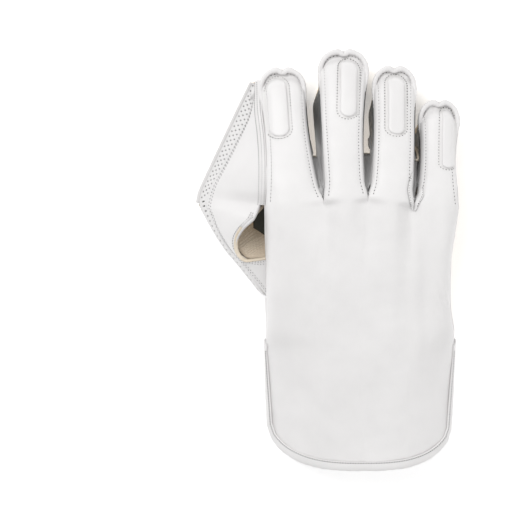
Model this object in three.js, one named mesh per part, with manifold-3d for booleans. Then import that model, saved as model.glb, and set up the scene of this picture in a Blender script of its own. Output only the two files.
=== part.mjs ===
// A wicketkeeping glove for the right hand, lying palm down with its fingers cupped.
// Lengths are millimetres. X runs towards the little finger, Y towards the finger tips, Z up.
// Every leather or rubber piece is a sheet: a surface worked out from the named sizes,
// given its wall on the inner side and trimmed clear of the pieces that it is sewn to.

import * as THREE from 'three';
import Module from 'manifold-3d';

const wasm = await Module();
wasm.setup();

// Driving sizes of the hand.
const handWidth = 147;
const palmLength = 100;
const fingerLength = 115;
const gauntletLength = 102;
const webReach = 52;

// Heights over the surface that the glove lies on.
const knuckleHeight = 72;
const tipHeight = 34;
const sideSeamHeight = 30;

// Walls and clearances.
const leatherWall = 2.4;
const rubberWall = 2.2;
const liningWall = 4.2;
const channelDepth = 1.8;
const seamGap = 0.6;
const trimGap = 0.3;
const wallMargin = 2.8;
const marginShare = 0.3;
const wallEnd = 0.95;
const upright = 0.6;
const liningGap = 1.3;
const crumb = 0.01;
// Trimmed edges closer together than this are drawn into one.
const sliver = 0.03;

// Fingers.
const fingerDepth = 30;
const fingerRound = 9;
const tipRound = 4.5;
const facingRound = 6;
const tipTuck = 2;
const pressDepth = 1.2;
const stripFall = 1.5;
const tipDepth = 18;
const slitWidth = 3;
const palmSlitShare = 0.3;
const rollRadius = 2.1;
const padLength = 44;
const padWidth = 13;
const padRise = 1.1;

// Web, thumb and cuff details.
const seamStripWidth = 5;
const pipingRadius = 1.4;
const wristBandLength = 10;
const cornerDepth = 48;
const cornerPower = 2.8;
const bindingWidth = 5.5;
const bindingWall = 1.4;
const bindingSlack = 0.8;
const channelCount = 7;

// Crown of the gauntlet's arch at the wrist and at its end, as shares of knuckleHeight.
const wristArch = 0.78;
const cuffArch = 0.52;

// Places along the length, measured from the middle of the glove.
const cuffEndY = -(fingerLength + palmLength + gauntletLength) / 2;
const wristY = cuffEndY + gauntletLength;
const knuckleY = wristY + palmLength;
const handLeft = (webReach - handWidth) / 2;

// One row a finger. Its edges on the back at the crotch, halfway and at the tip are shares
// of handWidth, its length a share of fingerLength, its knuckle and wrist heights shares of
// knuckleHeight. Lean shifts its palm side sideways, in shares of fingerDepth.
const fingers = [
  { name: 'index', base: [0, 0.291], mid: [0.004, 0.238], tip: [-0.03, 0.215], length: 0.878,
    knuckle: 0.92, wrist: 0.7, lean: -0.02, pad: -0.17, padShare: 1.08 },
  { name: 'middle', base: [0.291, 0.512], mid: [0.278, 0.504], tip: [0.268, 0.54], length: 1,
    knuckle: 0.99, wrist: 0.79, lean: -0.15, pad: 0.13, padShare: 0.92 },
  { name: 'ring', base: [0.512, 0.745], mid: [0.54, 0.765], tip: [0.547, 0.785], length: 0.889,
    knuckle: 0.97, wrist: 0.78, lean: -0.05, pad: 0.03, padShare: 0.92 },
  { name: 'little', base: [0.745, 0.985], mid: [0.782, 0.972], tip: [0.785, 1], length: 0.663,
    knuckle: 0.83, wrist: 0.66, lean: -0.12, pad: 0.25, padShare: 0.68 },
];

// The crotches and the two outer sides, as shares of fingerLength above the knuckle line.
const crotchRise = [-0.035, 0, 0.018, -0.022, -0.045];

// Sides of the hand and gauntlet: along is 0 at the knuckle line, 1 at the wrist and 2 at the
// cuff's end, left and right are shares of handWidth, seam is a share of sideSeamHeight.
const sides = [
  { along: 0, left: 0, right: 0.985, seam: 1.5 },
  { along: 0.4, left: 0.003, right: 0.955, seam: 1.12 },
  { along: 0.8, left: 0.005, right: 0.955, seam: 0.95 },
  { along: 1, left: 0.003, right: 0.98, seam: 0.8 },
  { along: 1.25, left: 0.004, right: 0.99, seam: 0.32 },
  { along: 1.6, left: 0.008, right: 0.985, seam: 0.22 },
  { along: 2, left: 0.02, right: 0.97, seam: 0.2 },
];

// The palm's facing: rise is its height in shares of knuckleHeight, left its edge at the
// thumb's crease in shares of handWidth, side the rise of that edge.
const palmRows = [
  { along: -0.345, left: 0, rise: 0.47, side: 0.47 },
  { along: 0.1, left: 0.012, rise: 0.42, side: 0.4 },
  { along: 0.28, left: 0.1, rise: 0.35, side: 0.33 },
  { along: 0.4, left: 0.19, rise: 0.29, side: 0.26 },
  { along: 0.5, left: 0.24, rise: 0.23, side: 0.2 },
  { along: 0.7, left: 0.29, rise: 0.12, side: 0.1 },
  { along: 0.86, left: 0.33, rise: 0.03, side: 0.035 },
  { along: 1, left: 0.37, rise: 0.012, side: 0.012 },
];

// The web from the index finger's tip to its crotch: along is a share of the index finger's
// length at the finger, inner and outer rows are [out, along, rise] of the perforated strip's
// two edges, in shares of webReach, that length and knuckleHeight.
const webRows = [
  { along: 0.9, inner: [0.135, 0.84, 0.36], outer: [0.186, 0.905, 0.33] },
  { along: 0.7, inner: [0.26, 0.64, 0.33], outer: [0.394, 0.69, 0.26] },
  { along: 0.48, inner: [0.438, 0.468, 0.28], outer: [0.587, 0.483, 0.19] },
  { along: 0.26, inner: [0.63, 0.28, 0.22], outer: [0.795, 0.26, 0.13] },
  { along: 0.07, inner: [0.795, 0.126, 0.18], outer: [0.958, 0.074, 0.1] },
  { along: -0.03, inner: [0.85, 0.045, 0.17], outer: [0.988, 0.0, 0.1] },
];

// The thumb's back from the crotch round the hole to the heel: rim and seam are
// [out, down, rise] in shares of webReach, palmLength and knuckleHeight, crown is how far the
// leather stands proud between them, in shares of fingerDepth.
const thumbBackRows = [
  { rim: [0.186, 0.135, 0.67], seam: [0.869, 0.03, 0.18], crown: 0.02 },
  { rim: [0.349, 0.225, 0.57], seam: [0.81, 0.105, 0.2], crown: 0.05 },
  { rim: [0.423, 0.308, 0.48], seam: [0.735, 0.195, 0.22], crown: 0.09 },
  { rim: [0.409, 0.383, 0.44], seam: [0.617, 0.293, 0.25], crown: 0.11 },
  { rim: [0.305, 0.443, 0.43], seam: [0.453, 0.413, 0.27], crown: 0.1 },
  { rim: [0.156, 0.443, 0.44], seam: [0.26, 0.54, 0.29], crown: 0.08 },
  { rim: [0.012, 0.432, 0.46], seam: [0.012, 0.72, 0.36], crown: 0 },
];

// The perforated gusset round the thumb's outer side, a row for each row of the facing: top
// is its upper seam and side the outline. Same shares as the thumb's back.
const gussetRows = [
  { top: [0.86, 0, 0.17], side: [0.97, 0.035, 0.1] },
  { top: [0.8, 0.11, 0.2], side: [0.84, 0.17, 0.11] },
  { top: [0.7, 0.23, 0.235], side: [0.71, 0.28, 0.12] },
  { top: [0.55, 0.35, 0.26], side: [0.57, 0.385, 0.12] },
  { top: [0.36, 0.47, 0.28], side: [0.41, 0.48, 0.12] },
  { top: [0.19, 0.585, 0.31], side: [0.22, 0.6, 0.13] },
  { top: [0.03, 0.7, 0.3], side: [0.04, 0.7, 0.13] },
  { top: [-0.2, 0.76, 0.1], side: [-0.25, 0.745, 0.06] },
  { top: [-0.45, 0.8, 0.05], side: [-0.5, 0.77, 0.035] },
  { top: [-0.66, 0.85, 0.035], side: [-0.7, 0.82, 0.03] },
  { top: [-0.85, 0.9, 0.03], side: [-0.87, 0.87, 0.025] },
];

// The heel's leather between the gusset and the wrist seam, from the hand's side inwards.
// Same shares as the thumb's back.
const heelRows = [
  { top: [0.0, 0.73, 0.35], wrist: [-0.01, 1, 0.31] },
  { top: [-0.08, 0.745, 0.18], wrist: [-0.04, 1, 0.17] },
  { top: [-0.2, 0.775, 0.1], wrist: [-0.12, 1, 0.07] },
  { top: [-0.45, 0.82, 0.05], wrist: [-0.38, 1, 0.035] },
  { top: [-0.66, 0.87, 0.035], wrist: [-0.7, 1, 0.03] },
  { top: [-0.88, 0.93, 0.03], wrist: [-1.02, 1, 0.03] },
];

// The thumb's rubber facing from tip to heel: seam lies on the floor side by the perforated
// gusset, belly and fold cross the floor side, rim is the upper end in the crotch hole or at
// the palm's crease. Same shares as the thumb's back.
const thumbFacingRows = [
  { seam: [0.86, 0.09, 0.06], belly: [0.78, 0.08, 0.02], fold: [0.68, 0.05, 0.1], rim: [0.8, 0.02, 0.2] },
  { seam: [0.646, 0.173, 0.03], belly: [0.54, 0.13, 0], fold: [0.4, 0.083, 0.12], rim: [0.66, 0.13, 0.29] },
  { seam: [0.453, 0.27, 0.02], belly: [0.28, 0.2, 0], fold: [0.07, 0.113, 0.15], rim: [0.46, 0.27, 0.36] },
  { seam: [0.29, 0.36, 0.02], belly: [0.1, 0.27, 0], fold: [-0.141, 0.165, 0.16], rim: [0.38, 0.365, 0.36] },
  { seam: [0.126, 0.443, 0.02], belly: [-0.08, 0.35, 0], fold: [-0.31, 0.24, 0.16], rim: [0.28, 0.42, 0.36] },
  { seam: [-0.052, 0.51, 0.02], belly: [-0.25, 0.42, 0], fold: [-0.43, 0.308, 0.16], rim: [0.14, 0.42, 0.37] },
  { seam: [-0.23, 0.578, 0.02], belly: [-0.38, 0.49, 0], fold: [-0.52, 0.385, 0.12], rim: [-0.1, 0.41, 0.36] },
  { seam: [-0.423, 0.645, 0.02], belly: [-0.5, 0.56, 0], fold: [-0.57, 0.47, 0.05], rim: [-0.5, 0.43, 0.24] },
  { seam: [-0.6, 0.705, 0.02], belly: [-0.64, 0.65, 0], fold: [-0.67, 0.57, 0.03], rim: [-0.64, 0.51, 0.17] },
  { seam: [-0.765, 0.765, 0.02], belly: [-0.78, 0.74, 0], fold: [-0.79, 0.71, 0.03], rim: [-0.8, 0.68, 0.09] },
  { seam: [-0.9, 0.83, 0.02], belly: [-0.905, 0.84, 0], fold: [-0.91, 0.85, 0.02], rim: [-0.915, 0.86, 0.04] },
];

// Plain helpers.
const mix = (a, b, t) => a + (b - a) * t;
const clamp = (value, low, high) => Math.min(Math.max(value, low), high);
const smooth = (t) => clamp(t, 0, 1) ** 2 * (3 - 2 * clamp(t, 0, 1));
const vec = (x, y, z) => new THREE.Vector3(x, y, z);
const steps = (count, low = 0, high = 1) =>
  Array.from({ length: count + 1 }, (_, i) => mix(low, high, i / count));

// A column of a table at a place along it, joined by a smooth curve.
function column(table, key, at) {
  let i = 0;
  while (i < table.length - 2 && at > table[i + 1].along) i += 1;
  const t = clamp((at - table[i].along) / (table[i + 1].along - table[i].along), 0, 1);
  return mix(table[i][key], table[i + 1][key], t);
}

// A curve through three values at 0, 0.5 and 1.
function through(start, middle, end, t) {
  return start * (1 - t) * (1 - 2 * t) + middle * 4 * t * (1 - t) + end * t * (2 * t - 1);
}

// How far a rounded outline reaches across and forward at an angle from its middle.
const squareness = 0.8;
const across = (angle) => Math.sign(angle) * Math.abs(Math.sin(angle)) ** squareness;
const forward = (angle) => Math.abs(Math.cos(angle)) ** squareness;

const halfTurn = Math.PI / 2;
const stripAngles = steps(6, -halfTurn, halfTurn);
const lastFinger = fingers.length - 1;

// The line across the hand at a crotch or side, and the y of a place along the hand.
function crotchY(boundary, palmSide) {
  const rise = crotchRise[boundary] + (palmSide ? palmSlitShare : 0);
  return knuckleY + rise * fingerLength;
}

function shoulderY(finger) {
  return knuckleY + finger.length * fingerLength - tipDepth;
}

// The two edges of a finger strip on the back, s from the crotch at 0 to the tip at 1.
function fingerEdge(index, side, s) {
  const finger = fingers[index];
  const share = through(finger.base[side], finger.mid[side], finger.tip[side], s);
  const inner = side === 0 ? index > 0 : index < lastFinger;
  const slit = inner ? (side === 0 ? 1 : -1) * slitWidth / 2 : 0;
  return handLeft + share * handWidth + slit;
}

// The same edges below the crotches, where the strips are one sheet; down is 0 at the
// knuckle line, 1 at the wrist and 2 at the cuff's end.
function handEdge(index, side, down) {
  const finger = fingers[index];
  const left = column(sides, 'left', down);
  const right = column(sides, 'right', down);
  const boundary = index + side;
  if (boundary === 0) return handLeft + left * handWidth;
  if (boundary === fingers.length) return handLeft + right * handWidth;
  const share = mix(finger.base[side], mix(left, right, boundary / fingers.length), smooth(down));
  const slit = (side === 0 ? 1 : -1) * slitWidth / 2;
  return handLeft + share * handWidth + slit;
}

// Height of the middle of a strip on the back.
function crownHeight(index, s) {
  const finger = fingers[index];
  if (s >= 0) return mix(finger.knuckle * knuckleHeight, tipHeight, s ** 1.5);
  if (s >= -1) return mix(finger.knuckle, finger.wrist, smooth(-s) * 0.4 + 0.6 * s * s) * knuckleHeight;
  return finger.wrist * knuckleHeight;
}

// Height of a strip's edge on the back: low between the fingers, flush below the crotches,
// down to the side seam or the floor at the two outer sides.
function edgeHeight(index, side, s) {
  const own = crownHeight(index, s) - mix(fingerRound, tipRound, smooth((s - 0.7) / 0.3));
  const boundary = index + side;
  if (boundary === 0 || boundary === fingers.length) {
    const seam = column(sides, 'seam', Math.max(-s, 0)) * sideSeamHeight;
    return s >= 0 ? mix(seam, own, smooth(s * 4)) : seam;
  }
  const other = side === 0 ? index - 1 : index + 1;
  const between = (crownHeight(index, s) + crownHeight(other, s)) / 2;
  if (s < 0) return between - fingerRound * mix(1, 0.1, smooth(-s * 2.4));
  return mix(between - fingerRound, own, smooth(s * 4));
}

// A point of the back: strip, angle across it and place along it.
function backPoint(index, angle, s) {
  const t = (across(angle) + 1) / 2;
  const height = (edge) => edgeHeight(index, edge, s);
  const crown = crownHeight(index, s);
  if (s >= 0) {
    const left = fingerEdge(index, 0, s);
    const right = fingerEdge(index, 1, s);
    const low = mix(crotchY(index, false), crotchY(index + 1, false), t);
    const bulge = smooth((s - 0.55) / 0.45);
    const y = mix(low, shoulderY(fingers[index]), s) + tipDepth * forward(angle) * bulge;
    const drop = crown - height(angle < 0 ? 0 : 1);
    const round = forward(angle) * (1 - smooth((s - 0.86) / 0.14));
    return vec(mix(left, right, t), y, crown - drop * (1 - round));
  }
  const down = -s;
  const left = handEdge(index, 0, down);
  const right = handEdge(index, 1, down);
  const x = mix(left, right, t);
  const low = mix(crotchY(index, false), crotchY(index + 1, false), t);
  const drop = crown - height(angle < 0 ? 0 : 1);
  const z = crown - drop * (1 - forward(angle));
  if (down <= 1) return vec(x, mix(low, wristY, down), z);
  const whole = clamp((x - handLeft) / handWidth * 2 - 1, -1, 1);
  const corner = cornerDepth * Math.max(1 - Math.abs(whole) ** cornerPower, 0) ** (1 / cornerPower);
  const straight = mix(wristY, cuffEndY + cornerDepth, down - 1);
  const seam = column(sides, 'seam', down) * sideSeamHeight;
  const arch = mix(wristArch, cuffArch, smooth(down - 1)) * knuckleHeight;
  const arched = mix(seam, arch, 1 - Math.abs(whole) ** 3);
  const y = straight - corner * smooth((down - 1.15) / 0.85);
  return vec(x, y, mix(z, arched, smooth((down - 1) / 0.5)));
}

// A point of the palm's facing under a finger or the palm. Past 1 the rubber turns up round
// the finger's tip to the rolled edge.
function palmPoint(index, angle, s) {
  const finger = fingers[index];
  const t = (across(angle) + 1) / 2;
  const shift = finger.lean * fingerDepth;
  const low = mix(crotchY(index, true), crotchY(index + 1, true), t);
  const palmShare = crotchRise[0] + palmSlitShare;
  if (s < 0) {
    const start = -palmShare * fingerLength / palmLength;
    const along = mix(start, 1, -s);
    const palmLeft = column(palmRows, 'left', along);
    const right = column(sides, 'right', Math.max(along, 0));
    const even = (boundary) => mix(palmLeft, right, boundary / fingers.length);
    const share = (side) => mix(finger.base[side], even(index + side), smooth(-s * 1.3));
    const outer = (side) => (index + side === 0 || index + side === fingers.length);
    const edge = (side) => {
      if (outer(side)) return handLeft + (side === 0 ? palmLeft : right) * handWidth;
      return handLeft + share(side) * handWidth + (side === 0 ? 1 : -1) * slitWidth / 2;
    };
    const x = mix(edge(0), edge(1), t) + shift * Math.max(1 + s * 4, 0);
    const y = mix(low, wristY, -s);
    const rise = column(palmRows, 'rise', along);
    const side = column(palmRows, 'side', along);
    const whole = (index + t) / fingers.length;
    const lift = facingRound * (1 - forward(angle)) * Math.max(1 + s * 3, 0);
    const ulnar = facingRound * Math.max(whole - 0.8, 0) * 5 * smooth(-s * 3);
    const level = mix(side, rise, smooth(whole * 4)) * knuckleHeight;
    return vec(x, y, level + lift + ulnar * ulnar / facingRound);
  }
  const place = Math.min(s, 1);
  const turn = Math.max(s - 1, 0);
  const sBack = mix(palmSlitShare / (shoulderY(finger) - knuckleY) * fingerLength, 1, place);
  const left = fingerEdge(index, 0, sBack) + shift * (1 - turn);
  const right = fingerEdge(index, 1, sBack) + shift * (1 - turn);
  const bulge = smooth((place - 0.45) / 0.55);
  const y = mix(low, shoulderY(finger), place) + tipDepth * forward(angle) * bulge;
  const floor = mix(palmRows[0].rise * knuckleHeight, 0, smooth(place * 1.35));
  const edge = floor + facingRound * (1 - forward(angle) * (1 - smooth((place - 0.88) / 0.12)));
  const rolled = crownHeight(index, 1) - tipRound - seamGap;
  const tuck = tipTuck * (1 - smooth(turn * 2)) * smooth((place - 0.7) / 0.3);
  const x = mix(left, right, mix(t, 0.5, tuck / tipDepth));
  return vec(x, y - tuck * forward(angle), mix(edge, rolled, turn));
}

// A surface: points joined by triangles, with equal points merged. Grids are rows of points,
// and a row's order and the columns' order are set so that faces look out of the glove.
function surface(grids) {
  const points = [];
  const faces = [];
  const found = new Map();
  const put = (p) => {
    const key = [p.x, p.y, p.z].map((value) => Math.round(value * 1000)).join();
    if (!found.has(key)) {
      found.set(key, points.length);
      points.push(p.clone());
    }
    return found.get(key);
  };
  for (const grid of grids) {
    const marks = grid.map((row) => row.map(put));
    for (let i = 0; i + 1 < marks.length; i += 1) {
      for (let j = 0; j + 1 < marks[i].length; j += 1) {
        const [a, b, c, d] = [marks[i][j], marks[i][j + 1], marks[i + 1][j + 1], marks[i + 1][j]];
        for (const face of [[a, b, c], [a, c, d]]) {
          if (new Set(face).size === 3) faces.push(face);
        }
      }
    }
  }
  return { points, faces };
}

// The way out of the surface at each point.
function normalsOf(sheet) {
  const normals = sheet.points.map(() => vec(0, 0, 0));
  for (const [a, b, c] of sheet.faces) {
    const u = sheet.points[b].clone().sub(sheet.points[a]);
    const v = sheet.points[c].clone().sub(sheet.points[a]);
    const n = u.cross(v);
    for (const i of [a, b, c]) normals[i].add(n);
  }
  return normals.map((n) => n.normalize());
}

// The open edges of a surface, each in the order in which its own face runs.
function openEdges(sheet) {
  const seen = new Map();
  for (const face of sheet.faces) {
    face.forEach((a, k) => {
      const b = face[(k + 1) % 3];
      seen.set(`${a},${b}`, [a, b]);
    });
  }
  return [...seen.values()].filter(([a, b]) => !seen.has(`${b},${a}`));
}

// A solid from a surface: wall is its thickness inwards, a number or one for each point.
// With grow, all its faces stand that much further out, which makes the tool that trims
// its neighbours.
function thicken(sheet, wall, grow = 0) {
  const normals = normalsOf(sheet);
  const edges = openEdges(sheet);
  const outwards = sheet.points.map(() => vec(0, 0, 0));
  for (const [a, b] of edges) {
    const along = sheet.points[b].clone().sub(sheet.points[a]).normalize();
    for (const i of [a, b]) outwards[i].add(along.clone().cross(normals[i]));
  }
  const count = sheet.points.length;
  const place = (i, depth) => {
    const rim = outwards[i].lengthSq() > 0 ? outwards[i].clone().normalize() : outwards[i];
    const p = sheet.points[i].clone().addScaledVector(normals[i], depth);
    p.addScaledVector(rim, grow - seamGap / 2);
    return vec(p.x, p.y, Math.max(p.z, grow > 0 ? -grow : 0));
  };
  const wallAt = (i) => (Array.isArray(wall) ? wall[i] : wall);
  const outer = sheet.points.map((p, i) => place(i, grow));
  const inner = sheet.points.map((p, i) => place(i, -wallAt(i) - grow));
  const faces = [...sheet.faces];
  for (const [a, b, c] of sheet.faces) faces.push([a + count, c + count, b + count]);
  for (const [a, b] of edges) faces.push([b, a, a + count], [b, a + count, b + count]);
  return solidOf([...outer, ...inner], faces);
}

function solidOf(points, faces) {
  const volume = faces.reduce((sum, [a, b, c]) =>
    sum + points[a].dot(points[b].clone().cross(points[c])), 0);
  if (volume < 0) faces.forEach((face) => face.reverse());
  const flat = new Float32Array(points.flatMap((p) => [p.x, p.y, p.z]));
  const mesh = new wasm.Mesh({ numProp: 3, vertProperties: flat, triVerts: new Uint32Array(faces.flat()) });
  return new wasm.Manifold(mesh);
}

// A place beside or under the hand from shares of webReach, palmLength and knuckleHeight.
function place([out, down, rise]) {
  return vec(handLeft - out * webReach, knuckleY - down * palmLength, rise * knuckleHeight);
}

// Smooth curve through a few points, sampled evenly.
function curve(points, count) {
  return new THREE.CatmullRomCurve3(points, false, 'centripetal').getPoints(count);
}

// Columns of a net of curves: each named end of the rows becomes a smooth curve, and the
// crossing rows are drawn between them.
function net(curves, rowCount, columnCount) {
  const lines = curves.map((points) => curve(points, rowCount));
  return steps(rowCount).map((_, i) => curve(lines.map((line) => line[i]), columnCount));
}

// The soft bottoms press flat on what the glove lies on.
const pressed = (p) => vec(p.x, p.y, Math.max(p.z - pressDepth, 0));

const pieces = {};
const tools = {};

// A sheet piece: its solid, and the grown copy that trims what is sewn to it.
function sheetPiece(name, grids, wall, colour, rough = 0.55) {
  const sheet = surface(grids);
  pieces[name] = { solid: thicken(sheet, wall), colour, rough };
  tools[name] = thicken(sheet, wall, trimGap);
  return sheet;
}

const leatherWhite = 0xf1f1f0;
const padWhite = 0xfafafa;
const rubberCream = 0xf6ecdc;
const pipingGrey = 0xdcdcd8;

// The back of the hand, the finger backs and the gauntlet in one sheet.
const fingerSteps = [0, 0.16, 0.36, 0.56, 0.72, 0.86, 0.94, 1];
const handSteps = steps(6, -1, 0);
const cuffSteps = steps(6, -2, -1);

function bridges(pointAt, places) {
  return fingers.slice(1).map((_, i) =>
    places.map((s) => [pointAt(i, halfTurn, s), pointAt(i + 1, -halfTurn, s)]));
}

const backPlaces = [...cuffSteps, ...handSteps.slice(1)];
const backGrids = fingers.flatMap((_, i) => [
  backPlaces.map((s) => stripAngles.map((angle) => backPoint(i, angle, s))),
  fingerSteps.map((s) => stripAngles.map((angle) => backPoint(i, angle, s))),
]);
sheetPiece('back_panel', [...backGrids, ...bridges(backPoint, backPlaces)], leatherWall, leatherWhite);

// The rubber over the palm and the fronts of the fingers, turned up round their tips.
const palmSteps = steps(6, -1, 0);
const facingSteps = [0, 0.25, 0.5, 0.7, 0.86, 0.95, 1, 1.3, 2];
const facingPoint = (i, angle, s) => pressed(palmPoint(i, angle, s));
const facingRow = (i, s) => [...stripAngles].reverse().map((angle) => facingPoint(i, angle, s));
const facingGrids = fingers.flatMap((_, i) => [
  palmSteps.map((s) => facingRow(i, s)),
  facingSteps.map((s) => facingRow(i, s)),
]);
const facingBridges = bridges(facingPoint, palmSteps).map((grid) => grid.map((row) => row.reverse()));
sheetPiece('palm_facing', [...facingGrids, ...facingBridges], rubberWall, rubberCream, 0.8);

// A side wall: from its lower edge on the palm's facing to its upper edge on the back.
function wallRow(index, side, backS, palmS) {
  const angle = side === 0 ? -halfTurn : halfTurn;
  const upper = backPoint(index, angle, backS);
  const lower = facingPoint(index, angle, palmS);
  const height = upper.distanceTo(lower);
  const margin = mix(leatherWall + seamGap, wallMargin, smooth(Math.abs(backS) * 5)) / height;
  const inset = Math.min(margin, marginShare);
  return steps(2, inset, 1 - inset).map((t) => lower.clone().lerp(upper, t));
}

const wallSteps = steps(5, 0, wallEnd);
for (let i = 0; i < lastFinger; i += 1) {
  const down = [...wallSteps].reverse().map((s) => wallRow(i, 1, s, s));
  const up = wallSteps.map((s) => wallRow(i + 1, 0, s, s));
  const name = `${fingers[i].name}_${fingers[i + 1].name}_wall`;
  sheetPiece(name, [[...down, ...up]], leatherWall, leatherWhite);
}

// The palm's facing starts its fingers further on than the back does. Upright is how far the
// rows of the little finger's side turn from equal shares of both to the same place along Y.
function sideRow(backS) {
  const { y } = backPoint(lastFinger, halfTurn, backS);
  const [wrist, start, end] = [-1, 0, 1].map((s) => facingPoint(lastFinger, halfTurn, s).y);
  const beside = (y - start) / (y > start ? end - start : start - wrist);
  return wallRow(lastFinger, 1, backS, Math.min(Math.max(mix(backS, beside, upright), -1), wallEnd));
}

const sideDown = [...[...wallSteps].reverse(), ...steps(6, 0, -1).slice(1)].map(sideRow);
sheetPiece('little_side_wall', [sideDown], leatherWall, leatherWhite);

const holeBack = -0.41;
const holePalm = -0.5;
const sideUp = [...steps(4).map((t) => wallRow(0, 0, mix(holeBack, 0, t), mix(holePalm, 0, t))),
  ...wallSteps.slice(1).map((s) => wallRow(0, 0, s, s))];
sheetPiece('index_side_wall', [sideUp], leatherWall, leatherWhite);

// The web: a stitched strip on the index finger's side, the back panel that runs on round the
// crotch hole as the thumb's back, the perforated strip of its edge and the rubber below.
const index = fingers[0];
const indexReach = index.length * fingerLength;
function indexSide(share) {
  const s = (share * indexReach - crotchRise[0] * fingerLength) / (shoulderY(index) - crotchY(0, false));
  if (s <= 1) return backPoint(0, -halfTurn, Math.max(s, -1));
  return backPoint(0, -halfTurn * 0.7, 1);
}
const webPlace = ([out, along, rise]) =>
  vec(handLeft - out * webReach, knuckleY + along * indexReach, rise * knuckleHeight);
const fingerSide = webRows.map((row) => indexSide(row.along));
const seamLine = fingerSide.map((p) => p.clone().add(vec(-seamStripWidth, 0, -stripFall)));
const webInner = webRows.map((row) => webPlace(row.inner));
const webOuter = webRows.map((row) => webPlace(row.outer));
sheetPiece('index_seam_strip', [net([fingerSide, seamLine], 8, 1)], leatherWall, leatherWhite);

const panelSteps = 18;
const rims = thumbBackRows.map((row) => place(row.rim));
const seams = thumbBackRows.map((row) => place(row.seam));
const webSag = -0.03;
const crowns = [...webRows.map(() => webSag), ...thumbBackRows.map((row) => row.crown)]
  .map((proud, along) => ({ along, proud }));
const panelInner = curve([...seamLine, ...rims], panelSteps);
const panelOuter = curve([...webInner, ...seams], panelSteps);
const panelRows = panelInner.map((start, i) => {
  const crown = column(crowns, 'proud', i / panelSteps * (crowns.length - 1));
  return steps(4).map((t) => {
    const p = start.clone().lerp(panelOuter[i], t);
    p.z += crown * fingerDepth * 4 * t * (1 - t);
    return p;
  });
});
sheetPiece('web_panel', [panelRows], leatherWall, leatherWhite);
sheetPiece('web_edge_strip', [net([webInner, webOuter], 10, 2)], leatherWall, leatherWhite);

const gussetTop = gussetRows.map((row) => place(row.top));
const gussetSide = gussetRows.map((row) => place(row.side));
const gussetLow = thumbFacingRows.map((row) => pressed(place(row.seam)));
sheetPiece('thumb_gusset', [net([gussetTop, gussetSide, gussetLow], 12, 4)], leatherWall, leatherWhite);

const facingCurves = ['seam', 'belly', 'fold', 'rim'].map((key) =>
  thumbFacingRows.map((row) => place(row[key])));
const thumbNet = net(facingCurves, 12, 7).map((row) => row.map(pressed));
sheetPiece('thumb_facing', [thumbNet], rubberWall, rubberCream, 0.8);

const webDrop = (leatherWall + seamGap + rubberWall) * 1.35;
const under = (p) => p.clone().add(vec(0, 0, -webDrop));
const fingerLine = fingerSide.map((p) => p.clone().add(vec(-seamGap, 0, -stripFall)));
const thumbRim = thumbFacingRows.slice(0, 3).map((row) => place(row.rim).add(vec(0, 0, webDrop)));
const rubberInner = [...fingerLine, ...rims.slice(0, 3)].map(under);
const rubberOuter = [...webOuter, ...thumbRim].map(under);
const webNet = net([rubberInner, rubberOuter], 10, 3).map((row) => row.reverse());
const webRubber = webNet.map((row) => row.map((p) => vec(p.x, p.y, Math.max(p.z, seamGap))));
sheetPiece('web_facing', [webRubber], rubberWall, rubberCream, 0.8);

const heelNet = net([heelRows.map((row) => place(row.top)), heelRows.map((row) => place(row.wrist))], 10, 3);
const heelRowsOut = heelNet[0].map((_, j) => heelNet.map((row) => pressed(row[j])));
sheetPiece('heel_panel', [heelRowsOut], leatherWall, leatherWhite);

// The band across the palm side of the wrist, the edge of the glove's mouth.
const bandPoint = (angle, down) => {
  const left = handLeft + column(sides, 'left', down) * handWidth;
  const right = handLeft + column(sides, 'right', down) * handWidth;
  const seam = column(sides, 'seam', down) * sideSeamHeight;
  const z = mix(seam, palmRows.at(-1).rise * knuckleHeight, forward(angle));
  return pressed(vec(mix(left, right, (across(angle) + 1) / 2), wristY - (down - 1) * gauntletLength, z));
};
const bandDown = wristBandLength / gauntletLength;
const bandStart = 1 + seamGap / gauntletLength;
const bandRows = steps(2, bandStart, bandStart + bandDown).map((down) =>
  steps(18, -halfTurn * 0.96, halfTurn * 0.96).map((angle) => bandPoint(angle, down)));
sheetPiece('wrist_band', [bandRows], leatherWall, leatherWhite);

// The gauntlet's padded lining with its sewn channels.
const angleAt = (t) => Math.sign(t - 0.5) * Math.asin(Math.abs(2 * t - 1) ** (1 / squareness));
const cuffPoint = (share, s) => {
  const i = Math.min(Math.floor(share * fingers.length), lastFinger);
  return backPoint(i, angleAt(share * fingers.length - i), s);
};
const channelHalf = 0.012;
const channelShares = steps(channelCount - 1, 0.12, 0.88);
const liningShares = [0.005, 0.06, ...channelShares.flatMap((share, k) => [
  share - channelHalf, share, share + channelHalf,
  ...(k < channelCount - 1 ? [(share + channelShares[k + 1]) / 2] : [])]), 0.94, 0.995];
const liningSteps = [-1.99, -1.8, -1.74, -1.6, -1.45, -1.39, -1.13];
const liningSheet = surface([liningSteps.map((s) => liningShares.map((share) => cuffPoint(share, s)))]);
const liningNormals = normalsOf(liningSheet);
const liningWalls = liningSteps.flatMap((s) => liningShares.map((share) => {
  const sewn = s > -1.75 && s < -1.42 && channelShares.includes(share);
  return sewn ? liningWall - channelDepth : liningWall;
}));
const liningDepth = leatherWall + liningGap;
const liningTop = {
  points: liningSheet.points.map((p, i) => p.clone().addScaledVector(liningNormals[i], -liningDepth)),
  faces: liningSheet.faces,
};
pieces.gauntlet_lining = { solid: thicken(liningTop, liningWalls), colour: leatherWhite, rough: 0.6 };
tools.gauntlet_lining = thicken(liningTop, liningWalls, trimGap);

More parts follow.
